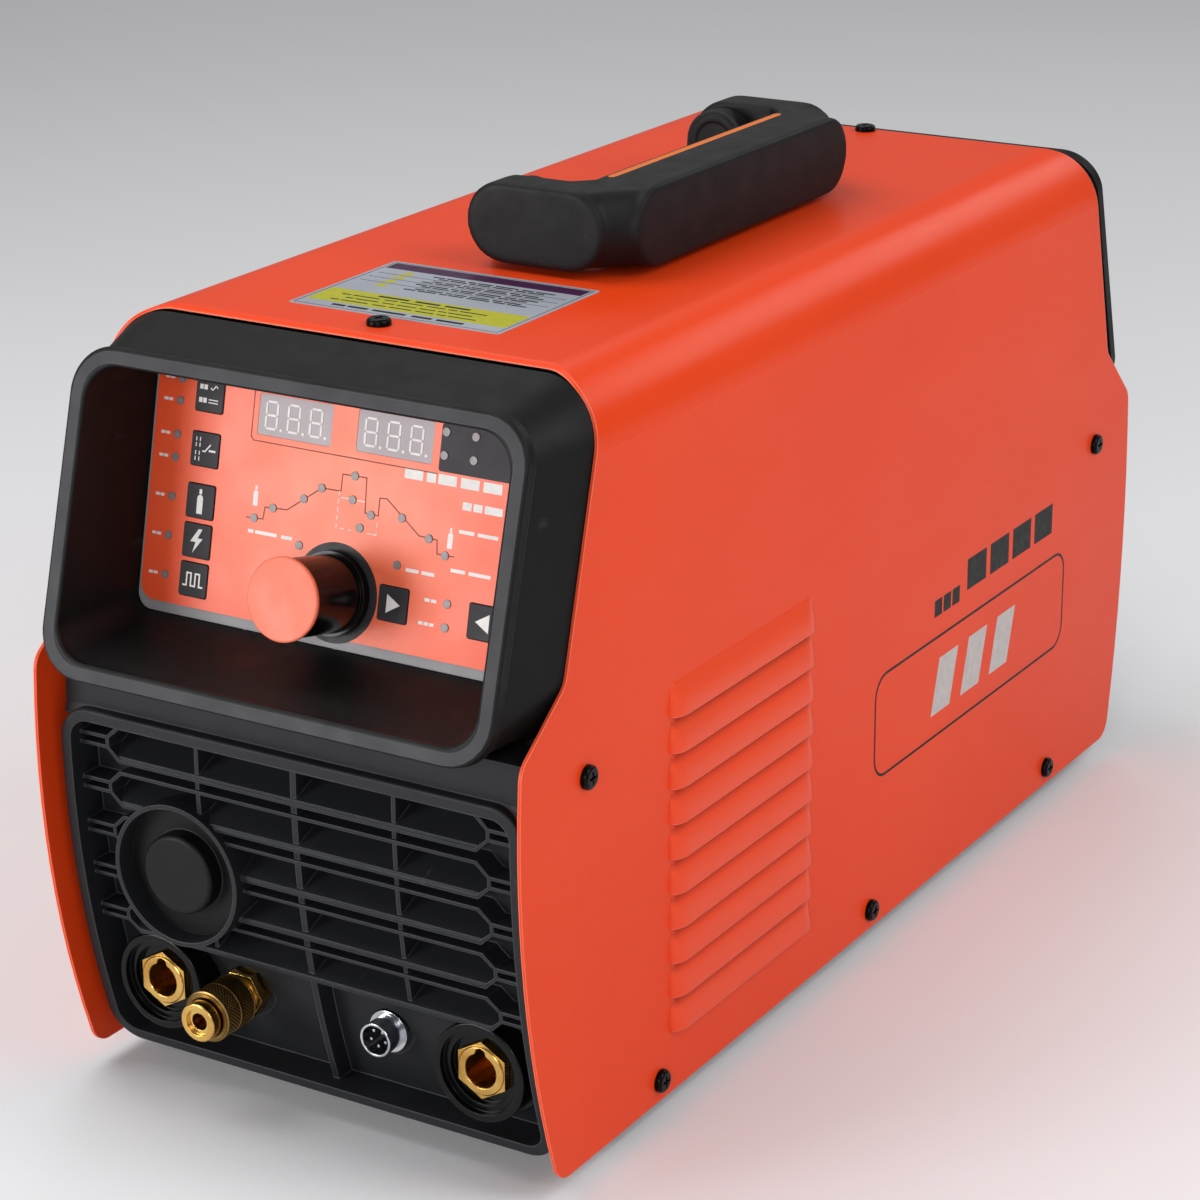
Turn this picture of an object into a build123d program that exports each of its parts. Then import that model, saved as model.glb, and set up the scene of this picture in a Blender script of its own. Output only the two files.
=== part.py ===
"""Portable inverter TIG welding machine, modelled as the pieces it is assembled from.

Frame: +X to the right seen from the front, +Y to the rear, +Z up.  The origin is on the
ground, under the middle of the machine.  Millimetres throughout.
"""
from build123d import *
from math import cos, radians, sin, sqrt, tan
import os

os.makedirs("parts", exist_ok=True)

# ---------------------------------------------------------------- driving dimensions
case_width = 200.0
case_top = 280.5
sheet = 1.2
sheet_bottom = 8.0  # ground to the lower edge of the sheet metal
case_corner = 24.0
case_half = case_width / 2
inner_half = case_half - sheet
inner_top = case_top - sheet

# Side outline of the cover as (y, z): leaning upper edges, a kink, a bowed lower edge.
front_top_y = -190.0
front_kink = (-217.0, 185.0)
front_brow = (-244.0, 165.0)
front_toe_y = -225.0
front_bulge = 8.6
rear_top_y = 195.0
rear_kink = (219.0, 189.0)
rear_brow = (244.0, 165.0)
rear_toe_y = 236.0
rear_bulge = 5.5

# Bezels: a rim parallel to the leaning edge of the cover, standing forward of it.
bezel_lean = 15.9
bezel_reach = 29.0
bezel_width = 184.0
bezel_height = 114.4
bezel_corner = 17.0
rim_width = 6.5
rim_foot_y = 252.0  # distance of the rim's lower edge from the middle, front and rear
rim_foot_z = 164.0
skirt_width = 2 * inner_half - 0.6
skirt_corner = case_corner - sheet - 0.3
skirt_depth = 12.0

# Control panel
panel_lean = 13.0
panel_origin = (0.0, -210.0, 164.0)
panel_width = 166.0
panel_low = 12.0
panel_high = 104.0
panel_thickness = 2.0
overlay_width = 164.0
overlay_low = 15.6
overlay_high = 102.5
overlay_thickness = 0.5
key_size = 11.8
key_clearance = 0.25
key_stand = 0.5  # how far a key stands above the overlay
key_travel = 0.8
key_places = {
    "key_current_type": (-59.3, 89.8),
    "key_trigger_mode": (-59.3, 70.9),
    "key_gas_test": (-59.3, 52.9),
    "key_arc_start": (-59.3, 39.1),
    "key_pulse": (-59.3, 25.4),
    "key_step_back": (-24.0, 31.2),
    "key_step_forward": (23.8, 31.2),
    "key_process": (59.8, 31.2),
}
led_radius = 1.5
display_size = (30.6, 14.2)
display_places = [(-23.0, 86.6), (18.0, 86.9)]
unit_block_size = (29.5, 16.0)
unit_block_place = (51.0, 86.2)
knob_place = (0.0, 31.0)
knob_radius = 13.4
knob_length = 29.0
knob_gap = 1.2
shaft_radius = 3.0

# Lower front moulding, its recess and its grille
frame_inset = 7.6  # behind the front edge of the cover
frame_half = 95.3
frame_bar = 4.4
frame_low = 11.0
frame_high = 147.0
frame_corner = 12.0
wall_inset = 22.0  # the recess wall, behind the edge of the cover
wall_thickness = 2.5
rib_inset = 13.0  # the front edges of the grille ribs
rib_width = 1.3
slot_rows = 5
slot_pitch = 17.1
slot_top_row = 134.0
slot_half_height = 6.3
slot_half_width = 79.0
slot_taper = 5.0
stub_spacing = 3.6
plug_place = (-50.5, 90.0)
plug_ring_radius = 26.5
plug_disc_radius = 14.8

# Sockets
socket_z = 41.0
socket_face_y = -225.0
dinse_x = 68.0
dinse_flange_radius = 18.3
dinse_hex_radius = 10.8
dinse_bore_radius = 6.5
gas_x = -36.5
signal_x = 24.4

# Handle
pivot_x = -4.3
pivot_z = case_top + 17.2
arm_radius = 14.7
handle_front_y = -91.0
handle_rear_y = 87.0
arm_depth = 15.0
grip_face_x = 47.0
grip_inner_x = 22.0
drum_radius = 12.5
drum_depth = 8.0
pin_radius = 4.0
running_gap = 0.08
side_gap = 0.4

# Feet and fasteners
foot_radius = 12.0
foot_places = [(-78, -182), (78, -182), (-78, 196), (78, 196)]
head_radius = 4.3
head_height = 2.5
thread_radius = 1.9
screw_hole_radius = 2.2
side_screws_yz = [(-205.0, 149.0), (209.0, 151.0), (-158.0, 16.0), (4.0, 16.0), (170.0, 16.0)]
top_screw_ys = (-173.0, 185.0)

# Side louvres
louvre_count = 10
louvre_pitch = 13.2
louvre_first_z = 32.0
louvre_front_y = -151.0
louvre_length = 102.0
louvre_height = 12.2
louvre_bulge = 3.6


# ---------------------------------------------------------------- shared geometry
def bowed_edge_y(z, low, high, bulge, side):
    """The y of the bowed lower edge of the cover at height z; side is -1 front, +1 rear."""
    (y_low, z_low), (y_high, z_high) = low, high
    chord = sqrt((y_high - y_low) ** 2 + (z_high - z_low) ** 2)
    radius = (chord**2 / 4 + bulge**2) / (2 * bulge)
    across = radius - bulge
    mid_y = (y_low + y_high) / 2
    mid_z = (z_low + z_high) / 2
    normal_y = side * (z_high - z_low) / chord
    normal_z = -side * (y_high - y_low) / chord
    centre_y = mid_y - normal_y * across
    centre_z = mid_z - normal_z * across
    return centre_y + side * sqrt(radius**2 - (z - centre_z) ** 2)


def front_edge_y(z, inset=0.0):
    toe = (front_toe_y, sheet_bottom)
    return bowed_edge_y(z, toe, front_brow, front_bulge, -1) + inset


def rear_edge_y(z, inset=0.0):
    toe = (rear_toe_y, sheet_bottom)
    return bowed_edge_y(z, toe, rear_brow, rear_bulge, 1) - inset


def bowed_points(edge, z_low, z_high, inset):
    """Three points of a bowed edge, for an arc."""
    z_mid = (z_low + z_high) / 2
    return [(edge(z, inset), z) for z in (z_low, z_mid, z_high)]


def leaning_plane(y, z, lean, facing):
    """A plane with local x along X and local y up the lean; facing is -1 front, +1 rear."""
    up = (0, -facing * sin(radians(lean)), cos(radians(lean)))
    normal = Vector(1, 0, 0).cross(Vector(*up))
    x_dir = (1, 0, 0)
    if facing > 0:
        normal = -normal
        x_dir = (-1, 0, 0)
    return Plane(origin=(0, y, z), x_dir=x_dir, z_dir=normal)


panel_plane = leaning_plane(panel_origin[1], panel_origin[2], panel_lean, -1)
front_rim_plane = leaning_plane(-rim_foot_y, rim_foot_z, bezel_lean, -1)
rear_rim_plane = leaning_plane(rim_foot_y, rim_foot_z, bezel_lean, 1)
panel_middle = (panel_low + panel_high) / 2
overlay_middle = (overlay_low + overlay_high) / 2
slot_rows_z = [slot_top_row - slot_pitch * row for row in range(slot_rows)]
recess_wall_y = front_edge_y(socket_z, wall_inset)


def upright_plane(y):
    """A plane facing the front at depth y, with local x along X and local y along Z."""
    return Plane(origin=(0, y, 0), x_dir=(1, 0, 0), z_dir=(0, -1, 0))


def ring(plane, place, outer, inner, depth):
    """A tube section on a plane; a zero inner radius makes it solid."""
    with BuildPart() as tube:
        with BuildSketch(plane):
            with Locations(place):
                Circle(outer)
                if inner > 0:
                    Circle(inner, mode=Mode.SUBTRACT)
        extrude(amount=depth)
    return tube.part


def slot_outline(grow=0.0):
    """Half-lengths of one grille slot with tapered ends, grown by an offset."""
    tip = slot_half_width + grow
    shoulder = slot_half_width - slot_taper + grow * 0.6
    flat = stub_spacing / 2 + grow * 0.3
    high = slot_half_height + grow
    corners = [(-tip, flat), (-shoulder, high), (shoulder, high), (tip, flat)]
    return corners + [(x, -z) for x, z in reversed(corners)]


# ---------------------------------------------------------------- cover
with BuildPart() as louvre_hood:
    with BuildSketch(Plane.XY):
        with BuildLine():
            Polyline(
                (inner_half + 0.2, louvre_front_y),
                (case_half + louvre_bulge, louvre_front_y + 6),
                (case_half + louvre_bulge, louvre_front_y + louvre_length - 6),
                (inner_half + 0.2, louvre_front_y + louvre_length),
                close=True,
            )
        make_face()
    extrude(amount=louvre_height)
    slope = Plane(
        origin=(case_half, 0, louvre_height),
        x_dir=(0, 1, 0),
        z_dir=(louvre_height, 0, louvre_bulge),
    )
    split(bisect_by=slope, keep=Keep.BOTTOM)

with BuildPart() as louvre_void:
    with BuildSketch(Plane.XY.offset(-0.4)):
        with BuildLine():
            Polyline(
                (inner_half - 1, louvre_front_y + 1.6),
                (inner_half + 0.2, louvre_front_y + 1.6),
                (case_half + louvre_bulge - sheet, louvre_front_y + 7.2),
                (case_half + louvre_bulge - sheet, louvre_front_y + louvre_length - 7.2),
                (inner_half + 0.2, louvre_front_y + louvre_length - 1.6),
                (inner_half - 1, louvre_front_y + louvre_length - 1.6),
                close=True,
            )
        make_face()
    extrude(amount=louvre_height - 1)
    inner_slope = Plane(
        origin=(case_half - sheet * 1.1, 0, louvre_height),
        x_dir=(0, 1, 0),
        z_dir=(louvre_height, 0, louvre_bulge),
    )
    split(bisect_by=inner_slope, keep=Keep.BOTTOM)

left_hood = mirror(louvre_hood.part, about=Plane.YZ)
left_void = mirror(louvre_void.part, about=Plane.YZ)
louvre_zs = [louvre_first_z + louvre_pitch * row for row in range(louvre_count)]

with BuildPart() as cover_shell:
    with BuildSketch(upright_plane(260)):
        with Locations((0, case_top - 200)):
            RectangleRounded(case_width, 400, case_corner)
        with Locations((0, inner_top - 200)):
            RectangleRounded(2 * inner_half, 400, case_corner - sheet, mode=Mode.SUBTRACT)
    extrude(amount=520)
    with BuildSketch(Plane.YZ.offset(-case_width)) as side_outline:
        with BuildLine():
            Polyline((front_top_y, case_top), front_kink, front_brow)
            ThreePointArc(*reversed(bowed_points(front_edge_y, sheet_bottom, front_brow[1], 0)))
            Line((front_toe_y, sheet_bottom), (rear_toe_y, sheet_bottom))
            ThreePointArc(*bowed_points(rear_edge_y, sheet_bottom, rear_brow[1], 0))
            Polyline(rear_brow, rear_kink, (rear_top_y, case_top))
            Line((rear_top_y, case_top), (front_top_y, case_top))
        make_face()
        toes = side_outline.vertices().group_by(Axis.Z)[0]
        fillet(toes, 9)
    extrude(amount=2 * case_width, mode=Mode.INTERSECT)
    with Locations(*[(0, 0, z) for z in louvre_zs]):
        add(louvre_hood.part)
        add(left_hood)
    with Locations(*[(0, 0, z) for z in louvre_zs]):
        add(louvre_void.part, mode=Mode.SUBTRACT)
        add(left_void, mode=Mode.SUBTRACT)
    with BuildSketch(Plane.YZ.offset(-case_width)):
        with Locations(*side_screws_yz):
            Circle(screw_hole_radius)
    extrude(amount=2 * case_width, mode=Mode.SUBTRACT)
    with BuildSketch(Plane.XY.offset(inner_top - 5)):
        with Locations(*[(0, y) for y in top_screw_ys]):
            Circle(screw_hole_radius)
        with Locations(*[(pivot_x + 3, y) for y in (-48, 48)]):
            Circle(screw_hole_radius)
    extrude(amount=10, mode=Mode.SUBTRACT)
cover_shell.part.label = "cover_shell"
export_step(cover_shell.part, "parts/cover_shell.step")


# ---------------------------------------------------------------- base tray
tray_top = 24.0
tray_floor = 10.2
tray_front_y = -199.0
tray_rear_y = 218.0
tray_length = tray_rear_y - tray_front_y
tray_middle_y = (tray_rear_y + tray_front_y) / 2

with BuildPart() as base_tray:
    with BuildSketch(Plane.XY.offset(tray_floor - sheet)):
        with Locations((0, tray_middle_y)):
            Rectangle(2 * inner_half, tray_length)
    extrude(amount=tray_top - tray_floor + sheet)
    with BuildSketch(Plane.XY.offset(tray_floor)):
        with Locations((0, tray_middle_y)):
            Rectangle(2 * (inner_half - sheet), tray_length - 2 * sheet)
    extrude(amount=tray_top, mode=Mode.SUBTRACT)
    with BuildSketch(Plane.YZ.offset(-case_width)):
        with Locations(*[(y, z) for y, z in side_screws_yz if z < tray_top]):
            Circle(thread_radius)
    extrude(amount=2 * case_width, mode=Mode.SUBTRACT)
    with BuildSketch(Plane.XY.offset(tray_floor - 2 * sheet)):
        with Locations(*foot_places):
            Circle(screw_hole_radius)
        with GridLocations(24, 8, 5, 8):
            SlotOverall(18, 3)
    extrude(amount=3 * sheet, mode=Mode.SUBTRACT)
base_tray.part.label = "base_tray"
export_step(base_tray.part, "parts/base_tray.step")

# ---------------------------------------------------------------- feet
with BuildPart() as rubber_feet:
    with Locations(*[(x, y, 0) for x, y in foot_places]):
        Cylinder(foot_radius, tray_floor - sheet, align=(Align.CENTER, Align.CENTER, Align.MIN))
    chamfer(rubber_feet.edges().group_by(Axis.Z)[0], 1.5)
    with Locations(*[(x, y, 0) for x, y in foot_places]):
        Cylinder(5.2, 5.0, align=(Align.CENTER, Align.CENTER, Align.MIN), mode=Mode.SUBTRACT)
        Cylinder(2.4, 20, mode=Mode.SUBTRACT)
rubber_feet.part.label = "rubber_feet"
export_step(rubber_feet.part, "parts/rubber_feet.step")


# ---------------------------------------------------------------- fasteners
def pan_screw(length):
    """A cross-recessed pan-head screw along Z, its head above Z = 0."""
    with BuildPart() as screw:
        with Locations((0, 0, 0)):
            Cylinder(head_radius, head_height, align=(Align.CENTER, Align.CENTER, Align.MIN))
        fillet(screw.edges().group_by(Axis.Z)[-1], 1.4)
        with Locations((0, 0, 0)):
            Cylinder(thread_radius, length, align=(Align.CENTER, Align.CENTER, Align.MAX))
        with BuildSketch(Plane.XY.offset(head_height - 1.5)):
            Rectangle(4.6, 1.1)
            Rectangle(1.1, 4.6)
        extrude(amount=3, mode=Mode.SUBTRACT)
    return screw.part


short_screw = pan_screw(6.0)

with BuildPart() as case_screws:
    for y, z in side_screws_yz:
        with Locations(Location((case_half, y, z), (0, 90, 0)), Location((-case_half, y, z), (0, -90, 0))):
            add(short_screw)
    with Locations(*[(0, y, case_top) for y in top_screw_ys]):
        add(short_screw)
    with Locations(*[Location((x, y, 5.0), (180, 0, 0)) for x, y in foot_places]):
        add(short_screw)
case_screws.part.label = "case_screws"
export_step(case_screws.part, "parts/case_screws.step")


# ---------------------------------------------------------------- bezels
rim_land = 3.0  # the straight part of the rim's inner edge
panel_seat = (panel_width + 0.4, panel_high - panel_low + 0.4)
rear_plate_plane = leaning_plane(rim_foot_y - 30, rim_foot_z, panel_lean, 1)


def bezel_moulding(rim, seat):
    """A bezel: a rim flaring back to the inside of the cover, round a tapering recess."""
    skirt_height = (inner_top - 0.3 - rim_foot_z) / cos(radians(bezel_lean))
    reach = bezel_reach * cos(radians(bezel_lean))
    rise = bezel_reach * sin(radians(bezel_lean))
    rim_middle = (0, bezel_height / 2)
    rim_opening = (bezel_width - 2 * rim_width, bezel_height - 2 * rim_width, bezel_corner - 4)
    with BuildPart() as moulding:
        with BuildSketch(rim.offset(-5)):
            with Locations(rim_middle):
                RectangleRounded(bezel_width, bezel_height, bezel_corner)
        extrude(amount=5)
        with BuildSketch(rim.offset(-5)):
            with Locations(rim_middle):
                RectangleRounded(bezel_width - 3, bezel_height - 1, bezel_corner)
        with BuildSketch(rim.offset(-reach)):
            with Locations((0, skirt_height / 2 + rise)):
                RectangleRounded(skirt_width, skirt_height, skirt_corner)
        loft()
        with BuildSketch(rim.offset(-reach - skirt_depth)):
            with Locations((0, skirt_height / 2 + rise)):
                RectangleRounded(skirt_width, skirt_height, skirt_corner)
        extrude(amount=skirt_depth)
        with BuildSketch(rim):
            with Locations(rim_middle):
                RectangleRounded(*rim_opening)
        extrude(amount=-rim_land, mode=Mode.SUBTRACT)
        with BuildSketch(rim.offset(-rim_land)):
            with Locations(rim_middle):
                RectangleRounded(*rim_opening)
        with BuildSketch(seat):
            with Locations((0, panel_middle)):
                RectangleRounded(*panel_seat, 6)
        loft(mode=Mode.SUBTRACT)
        with BuildSketch(seat):
            with Locations((0, panel_middle)):
                RectangleRounded(*panel_seat, 6)
        extrude(amount=-60, mode=Mode.SUBTRACT)
        rim_face = moulding.faces().filter_by(rim).sort_by(Axis(rim.origin, rim.z_dir))[-1]
        fillet(rim_face.edges(), 1.0)
    return moulding.part


# The inside edge of each bezel stops above the lower moulding behind it.
with BuildPart() as front_bezel:
    add(bezel_moulding(front_rim_plane, panel_plane))
    with BuildSketch(Plane.YZ.offset(-case_width)):
        with BuildLine():
            Polyline((-214, 100), (-214, rim_foot_z), (-150, rim_foot_z), (-150, 100), close=True)
        make_face()
    extrude(amount=2 * case_width, mode=Mode.SUBTRACT)
    with Locations((0, top_screw_ys[0], case_top)):
        Cylinder(thread_radius, 30, mode=Mode.SUBTRACT)
front_bezel.part.label = "front_bezel"
export_step(front_bezel.part, "parts/front_bezel.step")

with BuildPart() as rear_bezel:
    add(bezel_moulding(rear_rim_plane, rear_plate_plane))
    with BuildSketch(Plane.YZ.offset(-case_width)):
        with BuildLine():
            Polyline((150, 100), (150, rim_foot_z), (214, rim_foot_z), (214, 100), close=True)
        make_face()
    extrude(amount=2 * case_width, mode=Mode.SUBTRACT)
    with Locations((0, top_screw_ys[1], case_top)):
        Cylinder(thread_radius, 30, mode=Mode.SUBTRACT)
rear_bezel.part.label = "rear_bezel"
export_step(rear_bezel.part, "parts/rear_bezel.step")


# ---------------------------------------------------------------- control panel
def rounded_tiles(plane, places, size, corner):
    """Equal rounded rectangles at places on a plane."""
    with BuildSketch(plane) as tiles:
        with Locations(*places):
            RectangleRounded(size[0], size[1], corner)
    return tiles.sketch


key_window = (key_size + 2 * key_clearance, key_size + 2 * key_clearance)
overlay_face = panel_plane.offset(overlay_thickness)

with BuildPart() as control_panel:
    with BuildSketch(panel_plane):
        with Locations((0, panel_middle)):
            RectangleRounded(panel_width, panel_high - panel_low, 6)
    extrude(amount=-panel_thickness)
    panel_windows = panel_plane.offset(1)
    extrude(rounded_tiles(panel_windows, key_places.values(), key_window, 1), amount=-5, mode=Mode.SUBTRACT)
    extrude(rounded_tiles(panel_windows, display_places, display_size, 0.8), amount=-5, mode=Mode.SUBTRACT)
    with BuildSketch(panel_plane.offset(1)):
        with Locations(knob_place):
            Circle(shaft_radius + 1)
    extrude(amount=-5, mode=Mode.SUBTRACT)
control_panel.part.label = "control_panel"
export_step(control_panel.part, "parts/control_panel.step")

with BuildPart() as panel_overlay:
    with BuildSketch(panel_plane):
        with Locations((0, overlay_middle)):
            RectangleRounded(overlay_width, overlay_high - overlay_low, 6)
    extrude(amount=overlay_thickness)
    overlay_windows = panel_plane.offset(-1)
    extrude(rounded_tiles(overlay_windows, key_places.values(), key_window, 1), amount=5, mode=Mode.SUBTRACT)
    extrude(rounded_tiles(overlay_windows, display_places, display_size, 0.8), amount=5, mode=Mode.SUBTRACT)
    with BuildSketch(panel_plane.offset(-1)):
        with Locations(knob_place):
            Circle(shaft_radius + 1)
    extrude(amount=5, mode=Mode.SUBTRACT)
panel_overlay.part.label = "panel_overlay"
export_step(panel_overlay.part, "parts/panel_overlay.step")

with BuildPart() as display_windows:
    window_size = [side - 0.1 for side in display_size]
    extrude(rounded_tiles(overlay_face.offset(-0.1), display_places, window_size, 0.8), amount=-3)
    extrude(rounded_tiles(overlay_face, [unit_block_place], unit_block_size, 1), amount=0.15)
display_windows.part.label = "display_windows"
export_step(display_windows.part, "parts/display_windows.step")

mode_leds = [(-71.8, v) for v in (93.9, 86.2, 74.5, 66.5, 52.8, 39.1, 25.3)]
curve_leds = [(-36.2, 50.8), (-28.7, 55.4), (-16.3, 60.5), (-9.4, 65.3), (3.5, 71.4), (3.5, 63.3)]
curve_leds += [(11.4, 59.4), (7.5, 54.4), (23.9, 60.4), (35.3, 55.3), (42.2, 50.7)]
other_leds = [(-16.5, 44.6), (23.8, 44.5), (45.0, 35.0), (45.0, 27.0)]
led_places = mode_leds + curve_leds + other_leds

with BuildPart() as indicator_leds:
    with BuildSketch(overlay_face):
        with Locations(*led_places):
            Circle(led_radius)
    extrude(amount=0.3)
    with BuildSketch(overlay_face.offset(0.15)):
        with Locations(*[(u, v) for u in (38.1, 49.7) for v in (91.4, 83.6)]):
            Circle(led_radius)
    extrude(amount=0.3)
indicator_leds.part.label = "indicator_leds"
export_step(indicator_leds.part, "parts/indicator_leds.step")

for key_name, place in key_places.items():
    with BuildPart() as key:
        key_top = overlay_face.offset(key_stand)
        extrude(rounded_tiles(key_top, [place], (key_size, key_size), 0.8), amount=-3.2)
        fillet(key.faces().sort_by(Axis.Y)[0].edges(), 0.25)
        extrude(rounded_tiles(overlay_face.offset(key_stand - 3.2), [place], (5, 5), 0.5), amount=-2.0)
    key.part.label = key_name
    export_step(key.part, "parts/" + key_name + ".step")

board_drop = 8.0  # panel to the circuit board behind it
with BuildPart() as control_board:
    with BuildSketch(panel_plane.offset(-board_drop)):
        with Locations((0, panel_middle)):
            Rectangle(panel_width - 16, panel_high - panel_low - 8)
    extrude(amount=-1.6)
    with BuildSketch(panel_plane.offset(-board_drop)):
        with Locations(*key_places.values()):
            Rectangle(6, 6)
    extrude(amount=3.4 - key_travel)
    with BuildSketch(panel_plane.offset(-board_drop)):
        with Locations(*display_places):
            Rectangle(28, 12)
    extrude(amount=4)
    with BuildSketch(panel_plane.offset(-board_drop + 3)):
        with Locations(knob_place):
            Circle(4.2)
    extrude(amount=-10, mode=Mode.SUBTRACT)
control_board.part.label = "control_board"
export_step(control_board.part, "parts/control_board.step")

with BuildPart() as encoder:
    with BuildSketch(panel_plane.offset(-board_drop - 1.6)):
        with Locations(knob_place):
            Rectangle(13, 13)
            Circle(shaft_radius + running_gap, mode=Mode.SUBTRACT)
    extrude(amount=-7)
    with BuildSketch(panel_plane.offset(-board_drop - 1.6)):
        with Locations(knob_place):
            Circle(4)
            Circle(shaft_radius + running_gap, mode=Mode.SUBTRACT)
    extrude(amount=board_drop - 1.2)
encoder.part.label = "encoder"
export_step(encoder.part, "parts/encoder.step")

with BuildPart() as encoder_shaft:
    with BuildSketch(panel_plane.offset(-board_drop - 6)):
        with Locations(knob_place):
            Circle(shaft_radius)
    extrude(amount=board_drop + 6 + 15.2)
encoder_shaft.part.label = "encoder_shaft"
export_step(encoder_shaft.part, "parts/encoder_shaft.step")

knob_base = overlay_face.offset(knob_gap)
with BuildPart() as control_knob:
    with BuildSketch(knob_base):
        with Locations(knob_place):
            Circle(knob_radius + 1.2)
    extrude(amount=3)
    with BuildSketch(knob_base):
        with Locations(knob_place):
            Circle(knob_radius)
    extrude(amount=knob_length)
    fillet(control_knob.edges().filter_by(GeomType.CIRCLE).sort_by(Axis.Y)[0], 0.8)
    with BuildSketch(knob_base.offset(knob_length)):
        with Locations(knob_place):
            Circle(knob_radius - 1.4)
    extrude(amount=-1.0, mode=Mode.SUBTRACT)
    with BuildSketch(knob_base.offset(-0.1)):
        with Locations(knob_place):
            Circle(shaft_radius + 0.02)
    extrude(amount=15.1 - knob_gap, mode=Mode.SUBTRACT)
control_knob.part.label = "control_knob"
export_step(control_knob.part, "parts/control_knob.step")

with BuildPart() as knob_cap:
    with BuildSketch(knob_base.offset(knob_length - 1.0)):
        with Locations(knob_place):
            Circle(knob_radius - 1.45)
    extrude(amount=1.3)
    fillet(knob_cap.edges().filter_by(GeomType.CIRCLE).sort_by(Axis.Y)[0], 0.5)
knob_cap.part.label = "knob_cap"
export_step(knob_cap.part, "parts/knob_cap.step")


# ---------------------------------------------------------------- lower front moulding
def bowed_slab(edge, inset_near, inset_far, z_low, z_high, half_width):
    """A slab across the machine between two insets of a bowed edge."""
    near = bowed_points(edge, z_low, z_high, inset_near)
    far = bowed_points(edge, z_low, z_high, inset_far)
    with BuildPart() as slab:
        with BuildSketch(Plane.YZ.offset(-half_width)):
            with BuildLine():
                ThreePointArc(*near)
                Line(near[2], far[2])
                ThreePointArc(*reversed(far))
                Line(far[0], near[0])
            make_face()
        extrude(amount=2 * half_width)
    return slab.part


def rounded_bar(plane, low, high, half_width, corner, depth):
    """A rounded rectangle between two heights, extruded through a depth."""
    with BuildPart() as bar:
        with BuildSketch(plane):
            with Locations((0, (low + high) / 2)):
                RectangleRounded(2 * half_width, high - low, corner)
        extrude(amount=depth)
    return bar.part


ahead = upright_plane(-200)
slab_reach = 60.0
opening_low = frame_low + frame_bar
opening_high = frame_high - frame_bar
opening_half = frame_half - frame_bar
opening_corner = frame_corner - frame_bar
wall_back = wall_inset + wall_thickness

with BuildPart() as frame_block:
    add(bowed_slab(front_edge_y, frame_inset, wall_back, frame_low, frame_high, frame_half))
    add(rounded_bar(ahead, frame_low, frame_high, frame_half, frame_corner, slab_reach), mode=Mode.INTERSECT)
    outer_face = frame_block.faces().filter_by(GeomType.CYLINDER).sort_by(Axis.Y)[0]
    fillet(outer_face.edges(), 1.0)

with BuildPart() as recess_space:
    add(bowed_slab(front_edge_y, -10, wall_inset, sheet_bottom, frame_high + 10, frame_half))
    opening = rounded_bar(ahead, opening_low, opening_high, opening_half, opening_corner, slab_reach)
    add(opening, mode=Mode.INTERSECT)

with BuildPart() as slot_space:
    for z in slot_rows_z:
        with BuildSketch(upright_plane(-190)):
            with Locations((0, z)):
                Polygon(*slot_outline(-rib_width / 2), align=None)
        extrude(amount=slab_reach)

with BuildPart() as slot_ribs:
    for z in slot_rows_z:
        with BuildSketch(ahead):
            with Locations((0, z)):
                Polygon(*slot_outline(rib_width / 2), align=None)
        extrude(amount=slab_reach)
        with BuildSketch(ahead):
            with Locations((0, z - stub_spacing / 2), (0, z + stub_spacing / 2)):
                Rectangle(2 * opening_half + 2, rib_width)
        extrude(amount=slab_reach)
    add(slot_space.part, mode=Mode.SUBTRACT)
    add(
        bowed_slab(front_edge_y, rib_inset, wall_inset + 1, sheet_bottom, frame_high, opening_half + 1),
        mode=Mode.INTERSECT,
    )

with BuildPart() as slot_vanes:
    for z in slot_rows_z:
        y = front_edge_y(z)
        with BuildSketch(Plane.YZ.offset(-slot_half_width)):
            with BuildLine():
                Polyline(
                    (y + rib_inset + 0.6, z - slot_half_height + 0.4),
                    (y + rib_inset + 0.6, z - slot_half_height + 1.6),
                    (y + wall_back + 6, z + 2.6),
                    (y + wall_back + 6, z + 1.2),
                    close=True,
                )
            make_face()
        extrude(amount=2 * slot_half_width)
    add(slot_space.part, mode=Mode.INTERSECT)

rib_slab = bowed_slab(
    front_edge_y, rib_inset + 1.2, wall_inset + 1, opening_low - 1, opening_high + 1, frame_half
)
with BuildPart() as upright_ribs:
    with BuildSketch(ahead):
        with Locations((0, (opening_low + 139) / 2)):
            Rectangle(2.4, 139 - opening_low + 1)
        with Locations(*[(side * 41.0, (slot_rows_z[0] + slot_rows_z[-1]) / 2) for side in (-1, 1)]):
            Rectangle(1.6, slot_rows_z[0] - slot_rows_z[-1] + 2 * slot_half_height)
    extrude(amount=slab_reach)
    add(rib_slab, mode=Mode.INTERSECT)

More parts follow.
